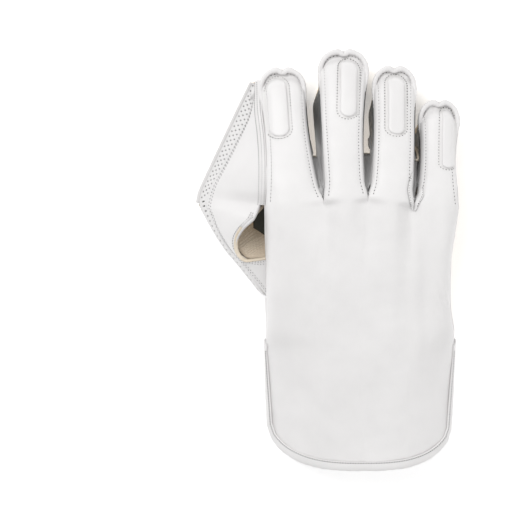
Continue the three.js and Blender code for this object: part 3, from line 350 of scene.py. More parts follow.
def palm(i, t, s):
    """The rubber under strip i: s is -1 at the wrist, 0 at the crotch, 1 at the fingertip, 2 at the roll.

    Across a strip the edges rise by one less a squared-off cosine, which eases to a plain cosine
    in the hand. At the tip the sheet turns up to the back along a squared-off arc.
    """
    t, s = np.broadcast_arrays(np.asarray(t, float), np.asarray(s, float))
    angle = angle_at(t)
    ahead, shift = forward(angle), FINGERS[i, LEAN] * FINGER_DEPTH
    low = mix(crotch(i, True), crotch(i + 1, True), t)
    sh = np.minimum(s, 0)
    along = mix(-(CROTCH[0] + PALM_SLIT) * FINGER_LENGTH / PALM_LENGTH, 1, -sh)
    left, right = column(PALM, 1, along), column(SIDES, 2, np.maximum(along, 0))

    def edge(side):
        """X of the strip's edge in the hand, which spreads to an even share of the width."""
        bound = i + side
        if bound in (0, 4):
            return LEFT + (left if side == 0 else right) * HAND_WIDTH
        share = mix(FINGERS[i, side], mix(left, right, bound / 4), smooth(-sh * 1.3))
        return LEFT + share * HAND_WIDTH + (1 if side == 0 else -1) * SLIT / 2 * (1 - smooth(-sh * 9))

    whole = (i + t) / 4
    xh = mix(edge(0), edge(1), t) + shift * np.maximum(1 + sh * 4, 0)
    lift = FACING_ROUND * (1 - mix(ahead, 0.5 + 0.5 * np.cos(math.pi * (2 * t - 1)), smooth(-sh * 9))) \
        * smooth(1 + sh * 2.2)
    ulnar = FACING_ROUND * np.maximum(whole - 0.8, 0) * 5 * smooth(-sh * 3)
    level = mix(column(PALM, 3, along), column(PALM, 2, along), smooth(whole * 4)) * KNUCKLE
    hand = points(xh, mix(low, WRIST, -sh), level + lift + ulnar * ulnar / FACING_ROUND)
    place, turn = np.clip(s, 0, 1), np.maximum(s - 1, 0)
    on_back = mix(PALM_SLIT / (shoulder(i) - KNUCKLES) * FINGER_LENGTH, 1, place)
    lean = shift * (1 - ease(place, LEAN_END))
    fl = finger_edge(i, 0, on_back) + EDGE_INSET + lean
    fr = finger_edge(i, 1, on_back) - EDGE_INSET + lean
    y = mix(low, shoulder(i), place) + TIP_DEPTH * ahead * ease(place, PALM_TIP)
    floor = mix(PALM[0, 2] * KNUCKLE, 0, smooth(place * 1.35))
    edge_z = floor + FACING_ROUND * (1 - ahead * (1 - ease(place, PALM_CLOSE)))
    rolled = crown(i, np.array(1.0)) - TIP_ROUND - 0.6
    tuck = TIP_TUCK * (1 - smooth(turn * 2)) * ease(place, TUCK_START)
    finger = points(mix(fl, fr, mix(t, 0.5, tuck / TIP_DEPTH)), y - tuck * ahead, mix(edge_z, rolled, turn))
    p = np.where((s >= 0)[..., None], finger, hand)
    p[..., 2] = np.maximum(p[..., 2] - PRESS, 0)
    return p


def place(table, first):
    """Points beside the hand from three columns of shares: out, down and rise."""
    out, down, rise = table[:, first], table[:, first + 1], table[:, first + 2]
    return points(LEFT - out * WEB_REACH, KNUCKLES - down * PALM_LENGTH, rise * KNUCKLE)


def curve(knots, at):
    """A centripetal Catmull-Rom curve through knots, first axis, at places from 0 to 1.

    Each span is the cubic whose end slopes are set by the square roots of the spans' lengths.
    """
    knots, at = np.asarray(knots, float), np.asarray(at, float)
    last = len(knots) - 1
    span = np.clip(np.floor(at * last).astype(int), 0, last - 1)
    w = (at * last - span).reshape((-1,) + (1,) * (knots.ndim - 1))
    full = np.concatenate([2 * knots[:1] - knots[1:2], knots, 2 * knots[-1:] - knots[-2:-1]])
    a, b, c, d = (full[span + k] for k in range(4))

    def gap(p, q):
        """The square root of the distance between two knots."""
        return np.sqrt(np.maximum(np.linalg.norm(q - p, axis=-1, keepdims=True), 1e-4))

    g0, g1, g2 = gap(a, b), gap(b, c), gap(c, d)
    m1 = ((b - a) / g0 - (c - a) / (g0 + g1) + (c - b) / g1) * g1
    m2 = ((c - b) / g1 - (d - b) / (g1 + g2) + (d - c) / g2) * g1
    return b + m1 * w + (3 * c - 3 * b - 2 * m1 - m2) * w ** 2 + (2 * b - 2 * c + m1 + m2) * w ** 3


def net(curves, rows, columns):
    """A grid between named curves: each curve sampled along it, then curves across those points."""
    along = np.linspace(0, 1, rows)
    lines = np.stack([curve(knots, along) for knots in curves])
    return np.swapaxes(curve(lines, np.linspace(0, 1, columns)), 0, 1)


def even(path, count):
    """A path resampled so that its points lie the same distance apart."""
    gone = np.concatenate([[0], np.cumsum(np.linalg.norm(np.diff(path, axis=0), axis=1))])
    at = np.linspace(0, gone[-1], count)
    return np.stack([np.interp(at, gone, path[:, k]) for k in range(3)], -1)


def normals(grid):
    """The way out of a grid of points: the step along its columns crossed with that along its rows."""
    out = np.cross(np.gradient(grid, axis=1), np.gradient(grid, axis=0))
    return out / np.maximum(np.linalg.norm(out, axis=-1, keepdims=True), 1e-9)


def on_grid(grid, u, v):
    """Points of a grid at shares u of its rows and v of its columns, blended from the four near."""
    r = np.clip(np.asarray(u, float), 0, 1) * (grid.shape[0] - 1)
    c = np.clip(np.asarray(v, float), 0, 1) * (grid.shape[1] - 1)
    i, j = np.minimum(r.astype(int), grid.shape[0] - 2), np.minimum(c.astype(int), grid.shape[1] - 2)
    a, b = (r - i)[..., None], (c - j)[..., None]
    return mix(mix(grid[i, j], grid[i, j + 1], b), mix(grid[i + 1, j], grid[i + 1, j + 1], b), a)


def lay(name, sheets, material, node=(), wall=0.0, shades=None):
    """Makes one mesh of grids of points in mm, equal points merged, and lets it ride on the glove.

    Each grid square becomes a face, and Solidify gives the sheet its wall on the inner side. The
    shade of each point goes into an attribute, 0 where none is given.
    """
    every = np.concatenate([g.reshape(-1, 3) for g in sheets])
    _, first, group = np.unique(np.round(every / MERGE).astype(np.int64), axis=0,
                                return_index=True, return_inverse=True)
    group = group.reshape(-1)
    faces, start = [], 0
    for g in sheets:
        rows, cols = g.shape[:2]
        mark = start + np.arange(rows * cols).reshape(rows, cols)
        corners = [mark[:-1, :-1], mark[:-1, 1:], mark[1:, 1:], mark[1:, :-1]]
        faces.append(np.stack(corners, -1).reshape(-1, 4))
        start += rows * cols
    quads = group[np.concatenate(faces)]
    same = quads == np.roll(quads, -1, 1)
    three = same.sum(1) == 1
    tris = quads[three][~same[three]].reshape(-1, 3)
    mesh = bpy.data.meshes.new(name)
    spots = (every[first] + SHIFT) / 1000
    mesh.from_pydata(spots.tolist(), [], quads[same.sum(1) == 0].tolist() + tris.tolist())
    mesh.validate()
    if shades is None:
        shades = [np.zeros(len(every))]
    shade = np.concatenate([np.asarray(value, float).reshape(-1) for value in shades])[first]
    mesh.attributes.new("shade", "FLOAT", "POINT").data.foreach_set("value", shade.astype(np.float32))
    return finish_piece(name, mesh, material, node, wall)


def shell(outer, inner):
    """The grids of a closed sheet: its outer and inner surfaces and the four strips between them."""
    return [outer, inner[:, ::-1], np.stack([inner[0], outer[0]]), np.stack([outer[-1], inner[-1]]),
            np.stack([outer[:, 0], inner[:, 0]]), np.stack([inner[:, -1], outer[:, -1]])]


def shell_shades(value):
    """One shade for each point of the six grids of a shell."""
    rows, across_rows = value.shape
    rims = (across_rows, across_rows, rows, rows)
    return [value, value[:, ::-1], *[np.zeros((2, count)) for count in rims]]


def finish_piece(name, mesh, material, node, wall=0.0):
    """Links a mesh as a piece, with smooth faces, its finish and its wall, parents it to the root body and
    hides the solid model's parts it stands for.
    """
    mesh.polygons.foreach_set("use_smooth", np.ones(len(mesh.polygons), bool))
    piece = bpy.data.objects.new(name, mesh)
    bpy.context.scene.collection.objects.link(piece)
    mesh.materials.append(material)
    if wall:
        solid = piece.modifiers.new("wall", "SOLIDIFY")
        solid.thickness, solid.offset = wall / 1000, -1
    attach(piece, "root")
    if node:
        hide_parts(*([node] if isinstance(node, str) else node))
    return piece


def closed_tube(path, across_to, section, ends=True):
    """A grid round a path: section gives out and up distances for each point of it.

    Out leads away from the points across_to, up is square to it and to the path. With ends, the
    first and last rings are drawn in to their middles, which closes the tube.
    """
    along = np.gradient(path, axis=0)
    along /= np.linalg.norm(along, axis=1, keepdims=True)
    away = path - across_to
    up = np.cross(away, along)
    up /= np.maximum(np.linalg.norm(up, axis=1, keepdims=True), 1e-9)
    out = np.cross(along, up)
    rings = path[:, None] + section[..., :1] * out[:, None] + section[..., 1:] * up[:, None]
    if ends:
        rings = np.concatenate([rings[:1].mean(1, keepdims=True).repeat(rings.shape[1], 1), rings,
                                rings[-1:].mean(1, keepdims=True).repeat(rings.shape[1], 1)])
    return rings


def turned_out(grid):
    """The grid with its columns reversed if its faces would point into the tube."""
    flat = grid.mean(1, keepdims=True)
    return grid if (normals(grid)[1:-1] * (grid - flat)[1:-1]).sum() > 0 else grid[:, ::-1]


def ring(radius_out, radius_up, sides=12):
    """Out and up distances round a ring, the last point on the first."""
    turn = np.linspace(0, math.tau, sides + 1)
    return np.stack([radius_out * np.cos(turn), radius_up * np.sin(turn)], -1)


# Stitches are short rounded bars laid along a path, each of the same few faces.
BAR_RINGS, BAR_SIDES = 5, 6


def stitch_bars(path, up, pitch=2.4, length=1.7, width=0.55, sink=0.1):
    """Rows of stitches on a path with its normals: a bar every pitch, round in section.

    A bar's radius is a half circle of its place along it, so that its two ends close.
    """
    gone = np.concatenate([[0], np.cumsum(np.linalg.norm(np.diff(path, axis=0), axis=1))])
    count = max(int(gone[-1] / pitch), 1)
    at = (np.arange(count) + 0.5) * gone[-1] / count
    spot = np.stack([np.interp(at, gone, path[:, k]) for k in range(3)], -1)
    high = np.stack([np.interp(at, gone, up[:, k]) for k in range(3)], -1)
    line = np.stack([np.interp(at + 0.3, gone, path[:, k]) - np.interp(at - 0.3, gone, path[:, k])
                     for k in range(3)], -1)
    line /= np.maximum(np.linalg.norm(line, axis=1, keepdims=True), 1e-9)
    high -= (high * line).sum(1, keepdims=True) * line
    high /= np.maximum(np.linalg.norm(high, axis=1, keepdims=True), 1e-9)
    side = np.cross(line, high)
    where = np.linspace(-1, 1, BAR_RINGS)
    thick = np.sqrt(np.maximum(1 - where ** 2, 0)) * width / 2
    turn = np.arange(BAR_SIDES) / BAR_SIDES * math.tau
    shape = np.stack([np.repeat(where * length / 2, BAR_SIDES),
                      np.outer(thick, np.cos(turn)).ravel(), np.outer(thick, np.sin(turn)).ravel()], -1)
    base = spot + high * (width / 2 - sink)
    return (base[:, None] + shape[None, :, :1] * line[:, None] + shape[None, :, 1:2] * side[:, None]
            + shape[None, :, 2:] * high[:, None])


# The rows of needle holes sewn so far, which the last seam makes one mesh.
HOLES = []
HOLE_LENGTH, HOLE_WIDTH, HOLE_SINK = 1.15, 0.95, 0.62


def sew(path, up, pitch, length, width=0.5):
    """A row of stitches, and kept for later the needle holes: bars sunk half a pitch from them."""
    start = np.linalg.norm(np.diff(path[:2], axis=0))
    HOLES.append(stitch_bars(path, up, pitch, HOLE_LENGTH, HOLE_WIDTH, HOLE_SINK))
    shift = max(int(round(pitch / 2 / max(start, 1e-3))), 1)
    return stitch_bars(path[shift:], up[shift:], pitch, length, width)


def thread(name, rows, material):
    """One mesh of many stitches: the same faces for each, shifted by its number of points."""
    bars = np.concatenate(rows)
    count, size = bars.shape[:2]
    i, j = np.meshgrid(np.arange(BAR_RINGS - 1), np.arange(BAR_SIDES), indexing="ij")
    k = (j + 1) % BAR_SIDES
    low, high = i * BAR_SIDES, (i + 1) * BAR_SIDES
    face = np.stack([low + j, high + j, high + k, low + k], -1)
    faces = (np.arange(count)[:, None, None] * size + face.reshape(-1, 4)[None]).reshape(-1, 4)
    mesh = bpy.data.meshes.new(name)
    mesh.from_pydata(((bars.reshape(-1, 3) + SHIFT) / 1000).tolist(), [], faces.tolist())
    return finish_piece(name, mesh, material, ())


class Finish:
    """Builds a material's nodes, wired by name."""

    def __init__(self, name):
        self.material = bpy.data.materials.new(name)
        self.material.use_nodes = True
        self.nodes, self.links = self.material.node_tree.nodes, self.material.node_tree.links
        self.shader = self.nodes["Principled BSDF"]
        self.place = self.nodes.new("ShaderNodeTexCoord").outputs["Object"]

    def noise(self, scale, detail=3.0, rough=0.55):
        """Soft noise, with the scale in cycles a metre."""
        node = self.nodes.new("ShaderNodeTexNoise")
        node.inputs["Scale"].default_value = scale
        node.inputs["Detail"].default_value = detail
        node.inputs["Roughness"].default_value = rough
        self.links.new(self.place, node.inputs["Vector"])
        return node.outputs["Fac"]

    def cells(self, scale):
        """Distance from the middles of small random cells."""
        node = self.nodes.new("ShaderNodeTexVoronoi")
        node.inputs["Scale"].default_value = scale
        self.links.new(self.place, node.inputs["Vector"])
        return node.outputs["Distance"]

    def ramp(self, value, stops):
        """Colours laid along a value."""
        node = self.nodes.new("ShaderNodeValToRGB")
        for k, (at, colour) in enumerate(stops):
            stop = node.color_ramp.elements[k] if k < 2 else node.color_ramp.elements.new(at)
            stop.position, stop.color = at, (*colour, 1)
        self.links.new(value, node.inputs["Fac"])
        return node.outputs["Color"]

    def blend(self, value, a, b):
        """Colour a where the value is 0 and b where it is 1."""
        node = self.nodes.new("ShaderNodeMix")
        node.data_type = "RGBA"
        self.links.new(value, node.inputs["Factor"])
        for socket, source in ((node.inputs["A"], a), (node.inputs["B"], b)):
            if isinstance(source, tuple):
                socket.default_value = (*source, 1)
            else:
                self.links.new(source, socket)
        return node.outputs["Result"]

    def shade(self):
        """Painted shade, kept on the piece's points."""
        node = self.nodes.new("ShaderNodeAttribute")
        node.attribute_name = "shade"
        return node.outputs["Fac"]

    def relief(self, value, height, strength=1.0, under=None):
        """Fine relief of a height in metres, over another where one is given."""
        node = self.nodes.new("ShaderNodeBump")
        node.inputs["Strength"].default_value = strength
        node.inputs["Distance"].default_value = height
        self.links.new(value, node.inputs["Height"])
        if under is not None:
            self.links.new(under, node.inputs["Normal"])
        return node.outputs["Normal"]

    def done(self, colour, rough, normal=None, specular=0.4):
        """Sets the shader from its colour, roughness and gloss."""
        self.links.new(colour, self.shader.inputs["Base Color"])
        self.shader.inputs["Roughness"].default_value = rough
        self.shader.inputs["Specular IOR Level"].default_value = specular
        if normal is not None:
            self.links.new(normal, self.shader.inputs["Normal"])
        return self.material


# Scales of the patterns in cycles a metre, and the rubber's painted shade colour between its pimples.
MOTTLE, COARSE_GRAIN, RUBBER_MOTTLE, RUBBER_GRAIN, TWIST, FIBRE = 38.0, 260.0, 60.0, 900.0, 1200.0, 2600.0
RUBBER_SHADOW = (0.42, 0.3, 0.19)


def leather(name, light, dark, grain=1500.0, depth=0.00006, rough=0.5, shade_colour=(0.62, 0.61, 0.58)):
    """Leather: mottled between two tones, fine grain of small cells, and a painted shade colour where the
    shade attribute is 1.
    """
    f = Finish(name)
    tone = f.ramp(f.noise(MOTTLE, 4), [(0.3, dark), (0.7, light)])
    colour = f.blend(f.shade(), tone, shade_colour)
    fine = f.relief(f.cells(grain), depth, 0.55)
    coarse = f.relief(f.noise(COARSE_GRAIN, 5, 0.6), depth * 2.5, 0.5, fine)
    return f.done(colour, rough, coarse)


def rubber(name, light, dark):
    """Rubber facing: warm tone that turns to a painted shade colour where the shade attribute is 1, with a
    fine matt skin.
    """
    f = Finish(name)
    tone = f.ramp(f.noise(RUBBER_MOTTLE, 4), [(0.3, dark), (0.7, light)])
    colour = f.blend(f.shade(), tone, RUBBER_SHADOW)
    return f.done(colour, 0.78, f.relief(f.noise(RUBBER_GRAIN, 3), 0.00008, 0.6), specular=0.25)


def thread_finish(name, colour):
    """Thread: a pale tone with the small cross lines of its twist."""
    f = Finish(name)
    tone = f.ramp(f.noise(TWIST, 2), [(0.3, dim(colour, 0.85)), (0.7, colour)])
    return f.done(tone, 0.6, f.relief(f.cells(FIBRE), 0.00005, 0.8))


def dim(colour, share):
    """A colour times a share."""
    return tuple(c * share for c in colour)


FINISHES = {}


def finishes(props):
    """The glove's finishes, made once from the panel's colours."""
    if not FINISHES:
        white = tuple(props.leather)
        cream = tuple(props.rubber)
        FINISHES.update(
            back=leather("back_leather", white, dim(white, 0.955), 1350),
            web=leather("web_leather", dim(white, 0.985), dim(white, 0.94), 1600, rough=0.42),
            # The walls between fingers are a darker copy of the white leather with a near-black shade colour:
            # both painted shade.
            wall=leather("wall_leather", dim(white, 0.8), dim(white, 0.7), 1300, shade_colour=(0.07, 0.075, 0.075)),
            # The perforated leather turns near black in its holes: painted shade.
            perforated=leather("perforated_leather", dim(white, 0.98), dim(white, 0.94), 1500,
                               shade_colour=(0.1, 0.1, 0.095)),
            binding=leather("binding_leather", white, dim(white, 0.93), 1400, 0.00009, 0.45),
            insert=leather("insert_leather", dim(white, 0.985), dim(white, 0.96), 2200, 0.00002, 0.42),
            lining=leather("lining_leather", dim(white, 0.97), dim(white, 0.92), 1700, 0.00004, 0.55),
            piping=leather("piping_leather", dim(white, 0.93), dim(white, 0.85), 1500, 0.00004, 0.4),
            # A near-black sheet paints the shadow seen inside the thumb's hole.
            dark=leather("painted_hole_shadow", (0.034, 0.034, 0.022), (0.026, 0.026, 0.017), 1500),
            rim=leather("rim_leather", (0.8, 0.72, 0.6), (0.68, 0.58, 0.45), 1500, 0.00008, 0.5),
            rubber=rubber("dimpled_rubber", cream, dim(cream, 0.94)),
            thread=thread_finish("white_thread", dim(white, 0.9)),
            # The needle holes are near-black marks: painted shade in the holes.
            hole=thread_finish("needle_hole", (0.1, 0.1, 0.1)))
    return FINISHES


class PaddedGloveSizes(bpy.types.PropertyGroup):
    leather: bpy.props.FloatVectorProperty(
        name="Leather", description="Colour of the white leather", subtype="COLOR",
        default=(0.815, 0.803, 0.8), min=0, max=1)
    rubber: bpy.props.FloatVectorProperty(
        name="Rubber", description="Colour of the pimpled rubber facing", subtype="COLOR",
        default=(0.86, 0.77, 0.64), min=0, max=1)
    stitch_pitch: bpy.props.FloatProperty(
        name="Stitch pitch", description="Distance from one stitch to the next", default=0.0026,
        min=0.0015, max=0.006, unit="LENGTH")
    pimple_pitch: bpy.props.FloatProperty(
        name="Pimple pitch", description="Distance from one rubber pimple to the next", default=0.0023,
        min=0.0015, max=0.006, unit="LENGTH")
    pimple_rise: bpy.props.FloatProperty(
        name="Pimple rise", description="Height of the rubber's pimples", default=0.00045,
        min=0.0, max=0.001, unit="LENGTH")


def across_shares(count):
    """Places across a strip, closer together at its rounded edges."""
    return (across(np.linspace(-HALF_TURN, HALF_TURN, count)) + 1) / 2


def skin_grid(i, shares, places):
    """The back's skin at every share across a strip and place along it."""
    return skin(i, shares[None, :], places[:, None])


BACK_COLUMNS, FINGER_ROWS, HAND_ROWS, GROOVE_SHADE = 33, 64, 62, 0.28


class GLOVE_OT_back(bpy.types.Operator):
    """Lay the back leather over the fingers, the hand and the gauntlet"""
    bl_idname = "glove.back"
    bl_label = "Back leather"

    def execute(self, context):
        made = finishes(context.scene.padded_glove)
        shares = across_shares(BACK_COLUMNS)
        tips = 1 - (1 - np.linspace(0, 1, FINGER_ROWS)) ** 1.25
        hand = np.linspace(-1, 0, HAND_ROWS)
        cuff_rows = -1 - np.linspace(1, 0, HAND_ROWS) ** 0.9
        rows = np.concatenate([cuff_rows, hand[1:]])
        grids = [np.concatenate([skin_grid(i, shares, rows) for i in range(4)], 1)]
        grids += [skin_grid(i, shares, tips) for i in range(4)]
        t, s = np.broadcast_arrays(shares[None, :], tips[:, None])
        # Painted shade: the back darkens in the groove round each insert.
        shades = [np.zeros(grids[0].shape[:2])]
        shades += [GROOVE_SHADE * bump(pad_edge(i, t, s) - 1.4, 0.9) for i in range(4)]
        lay("back_leather", grids, made["back"], "back_panel", LEATHER, shades)
        return {"FINISHED"}


# How the rubber's pimples differ from sheet to sheet: shares of the panel's pitch and rise, and
# how much painted shade darkens the rubber between them and towards the thumb's rim.
THUMB_PITCH, THUMB_RISE, WEB_RISE = 1.25, 2.2, 1.3
PALM_HOLLOW, THUMB_HOLLOW, WEB_HOLLOW, RIM_SHADE = 0.22, 0.34, 0.3, 0.06
SHEET_GAP, WEB_DROP = 0.6, 1.35
PALM_COLUMNS, PALM_ROWS, PALM_FINGER_ROWS, TURN_ROWS = 40, 110, 120, 16
THUMB_GRID, WEB_GRID = (220, 110), (190, 80)


def pimples(grid, pitch, rise, keep=1.0):
    """Small round pimples in rows like bricks: a hill at each centre of a hexagonal pattern.

    Distances along and across the grid are measured on it, so that the pattern is even.
    """
    step_u = np.linalg.norm(np.diff(grid, axis=0), axis=-1).mean(1)
    u = np.concatenate([[0], np.cumsum(step_u)])[:, None]
    step_v = np.linalg.norm(np.diff(grid, axis=1), axis=-1)
    v = np.concatenate([np.zeros((len(grid), 1)), np.cumsum(step_v, 1)], 1)
    v = v - v[:, -1:] / 2
    row_height = pitch * math.sqrt(3) / 2
    best = np.full(grid.shape[:2], 9.0)
    for k in (0, 1):
        row = np.round((u / row_height - k) / 2) * 2 + k
        cu = row * row_height
        cv = (np.round(v / pitch - 0.5 * k) + 0.5 * k) * pitch
        best = np.minimum(best, np.hypot(u - cu, v - cv))
    border = np.minimum(np.minimum(v - v[:, :1], v[:, -1:] - v), np.minimum(u, u[-1] - u))
    hill = bump(best, pitch * 0.3) * smooth((border - 1) / 1.5)
    return grid + normals(grid) * (hill * rise * keep)[..., None], 1 - hill


class GLOVE_OT_palm(bpy.types.Operator):
    """Lay the pimpled rubber over the palm, the fingers' fronts, the thumb and the web"""
    bl_idname = "glove.palm"
    bl_label = "Rubber facing"

    def execute(self, context):
        props = context.scene.padded_glove
        made = finishes(props)
        pitch, rise = props.pimple_pitch * 1000, props.pimple_rise * 1000
        shares = across_shares(PALM_COLUMNS)[::-1]
        hand_rows = np.linspace(-1, 0, PALM_ROWS)
        front_rows = np.concatenate([np.linspace(0, 1, PALM_FINGER_ROWS), np.linspace(1, 2, TURN_ROWS)[1:]])
        hand = np.concatenate([palm(i, shares[None, :], hand_rows[:, None]) for i in (3, 2, 1, 0)], 1)
        sheets = [hand] + [palm(i, shares[None, :], front_rows[:, None]) for i in range(4)]
        fade_hand = np.broadcast_to(smooth((0 - hand_rows) * 30)[:, None], hand.shape[:2])
        fade_finger = smooth(front_rows * 30) * smooth((2 - front_rows) * 3)
        raised, shades = [], []
        for k, grid in enumerate(sheets):
            keep = fade_hand if k == 0 else np.broadcast_to(fade_finger[:, None], grid.shape[:2])
            bumped, hollow = pimples(grid, pitch, rise, keep)
            raised.append(np.maximum(bumped, ABOVE_FLOOR))
            # Painted shade: the rubber darkens in the hollows between its pimples.
            shades.append(PALM_HOLLOW * hollow * keep)
        lay("palm_rubber", raised, made["rubber"], "palm_facing", RUBBER, shades)

        seams = [place(THUMB_RUBBER, k) for k in (0, 3, 6, 9)]
        seams[3][:3, 2] -= CORNER_DROP
        thumb = net(seams, *THUMB_GRID)
        thumb[..., 2] = np.maximum(thumb[..., 2] - PRESS, 0)
        bumped, hollow = pimples(thumb, pitch * THUMB_PITCH, rise * THUMB_RISE)
        # Painted shade: besides its hollows, the thumb's rubber darkens towards the hole's rim.
        near_rim = np.broadcast_to(np.linspace(0, 1, THUMB_GRID[1])[None] ** 3, hollow.shape)
        outer = np.maximum(bumped, ABOVE_FLOOR)
        under = np.maximum(thumb - normals(thumb) * RUBBER, ABOVE_FLOOR)
        lay("thumb_rubber", shell(outer, under), made["rubber"], "thumb_facing",
            shades=shell_shades(THUMB_HOLLOW * hollow + RIM_SHADE * near_rim))

        drop = np.array([0, 0, (LEATHER + SHEET_GAP + RUBBER) * WEB_DROP])
        finger_line = finger_side() + np.array([-SHEET_GAP, 0, -STRIP_FALL])
        inner = np.concatenate([finger_line, place(THUMB_BACK, 0)[:3]]) - drop
        rim = place(THUMB_RUBBER, 9)[:3]
        rim[:, 2] -= CORNER_DROP
        outer = np.concatenate([web_point(4) - drop, rim])
        web = net([inner, outer], *WEB_GRID)[:, ::-1]
        bumped, hollow = pimples(web, pitch, rise * WEB_RISE)
        # Painted shade in the hollows between the pimples, as on the palm.
        lay("web_rubber", [np.maximum(bumped, ABOVE_FLOOR_WEB)], made["rubber"], "web_facing",
            RUBBER, [WEB_HOLLOW * hollow])
        return {"FINISHED"}


def index_side(share):
    """Points of the index finger's side edge at shares of its length, the last ones on its tip."""
    share = np.asarray(share, float)
    reach = shoulder(0) - crotch(0)
    s = (share * FINGERS[0, LENGTH] * FINGER_LENGTH - CROTCH[0] * FINGER_LENGTH) / reach
    side = back(0, 0.0, np.clip(s, -1, 1))
    tip = back(0, (across(np.array(-HALF_TURN * 0.7)) + 1) / 2, 1.0)
    return np.where((s > 1)[..., None], tip, side)


def finger_side():
    """The index finger's side edge where the web is sewn to it."""
    return index_side(WEB[:, 0])


def web_point(first):
    """Points of an edge of the perforated strip from three columns of the web's table."""
    out, along, rise = WEB[:, first], WEB[:, first + 1], WEB[:, first + 2]
    reach = FINGERS[0, LENGTH] * FINGER_LENGTH
    return points(LEFT - out * WEB_REACH, KNUCKLES + along * reach, rise * KNUCKLE)


WALL_MARGIN, WALL_SHARE, WALL_IN = (LEATHER + 0.6, 1.6), 0.3, 0.9
BUCKLE, BUCKLE_WAVE, WALL_COLUMNS = 0.8, 15.0, 14


def wall_grid(i, side, back_s, palm_s, columns=WALL_COLUMNS, seed=0):
    """A finger's side wall: straight lines from the palm's edge to the back's, with a small margin.

    Between them it bows by half a sine wave, uneven by a ripple, which reads as creases.
    """
    t = 0.0 if side == 0 else 1.0
    upper = back(i, t, back_s)
    lower = palm(i, t, palm_s)
    height = np.linalg.norm(upper - lower, axis=-1)
    margin = mix(*WALL_MARGIN, smooth(np.abs(back_s) * 5)) / height
    inset = margin[:, None] * WALL_SHARE
    v = mix(inset, 1 - inset, np.linspace(0, 1, columns)[None])
    grid = mix(lower[:, None], upper[:, None], v[..., None])
    buckle = np.sin(np.pi * v) * (1.0 + BUCKLE * ripple(grid[..., 1], grid[..., 2], BUCKLE_WAVE, 40 + seed))
    sign = 1.0 if side == 0 else -1.0
    grid[..., 0] += sign * (buckle - WALL_IN)
    return grid


class GLOVE_OT_walls(bpy.types.Operator):
    """Join the finger backs and fronts with leather side walls"""
    bl_idname = "glove.walls"
    bl_label = "Finger side walls"

    def execute(self, context):
        made = finishes(context.scene.padded_glove)
        s = np.linspace(0, 1.0, 46)
        for i in range(3):
            down = wall_grid(i, 1, s[::-1], s[::-1], seed=i)
            up = wall_grid(i + 1, 0, s, s, seed=i + 5)
            name = f"{NAMES[i]}_{NAMES[i + 1]}_wall"
            wall = np.concatenate([down, up])
            # Painted shade: each wall is darkened throughout, and more towards the finger tips.
            dark = 0.35 + 0.6 * smooth((s - 0.2) / 0.45)
            deep = np.broadcast_to(np.concatenate([dark[::-1], dark])[:, None], wall.shape[:2])
            lay(f"{name}_leather", [wall], made["wall"], name, LEATHER, [deep])
        side = np.concatenate([s[::-1], np.linspace(0, -1, 40)[1:]])
        wrist, start, end = (palm(3, 1.0, along)[1] for along in (-1.0, 0.0, 1.0))
        y = back(3, 1.0, side)[:, 1]
        beside = np.where(y > start, (y - start) / (end - start), (y - start) / (start - wrist))
        lower = np.clip(mix(side, beside, UPRIGHT), -1, 1)
        lay("little_side_leather", [wall_grid(3, 1, side, lower, seed=9)], made["back"], "little_side_wall",
            LEATHER)
        back_s = np.concatenate([np.linspace(-0.41, 0, 20), s[1:]])
        palm_s = np.concatenate([np.linspace(-0.5, 0, 20), s[1:]])
        lay("index_side_leather", [wall_grid(0, 0, back_s, palm_s, seed=12)], made["back"], "index_side_wall",
            LEATHER)
        return {"FINISHED"}


WEB_WAVE, WEB_SLACK, WEB_GROOVE_WIDTH = 24.0, 0.55, 0.8


def web_panel_grid(rows=150, columns=40):
    """The web's back: straight lines from the finger's seam and the hole's rim to the outer seam.

    Between them it stands proud by a parabola, with a ripple where the leather is slack and a
    groove beside the outer seam.
    """
    seam_line = finger_side() + np.array([-SEAM_STRIP, 0, -STRIP_FALL])
    at = np.linspace(0, 1, rows)
    inner = curve(np.concatenate([seam_line, place(THUMB_BACK, 0)]), at)
    outer = curve(np.concatenate([web_point(1), place(THUMB_BACK, 3)]), at)
    proud = np.concatenate([np.full(len(WEB), -0.03), THUMB_BACK[:, 6]])
    stand = np.interp(at * (len(proud) - 1), np.arange(len(proud)), proud)[:, None]
    t = np.linspace(0, 1, columns)[None]
    grid = mix(inner[:, None], outer[:, None], t[..., None])
    grid[..., 2] += stand * FINGER_DEPTH * 4 * t * (1 - t)
    wave = ripple(grid[..., 0], grid[..., 1], WEB_WAVE, 21) * WEB_SLACK * np.sin(np.pi * t)
    inside = (1 - t) * np.linalg.norm(outer - inner, axis=1)[:, None]
    grid[..., 2] += wave - SEAM_GROOVE * bump(inside - SEAM_INSET, WEB_GROOVE_WIDTH)
    return grid


HOLE_PITCH, HOLE_SIZE, HOLE_DEPTH, HOLE_ROWS = 4.3, 0.52, 1.1, 3


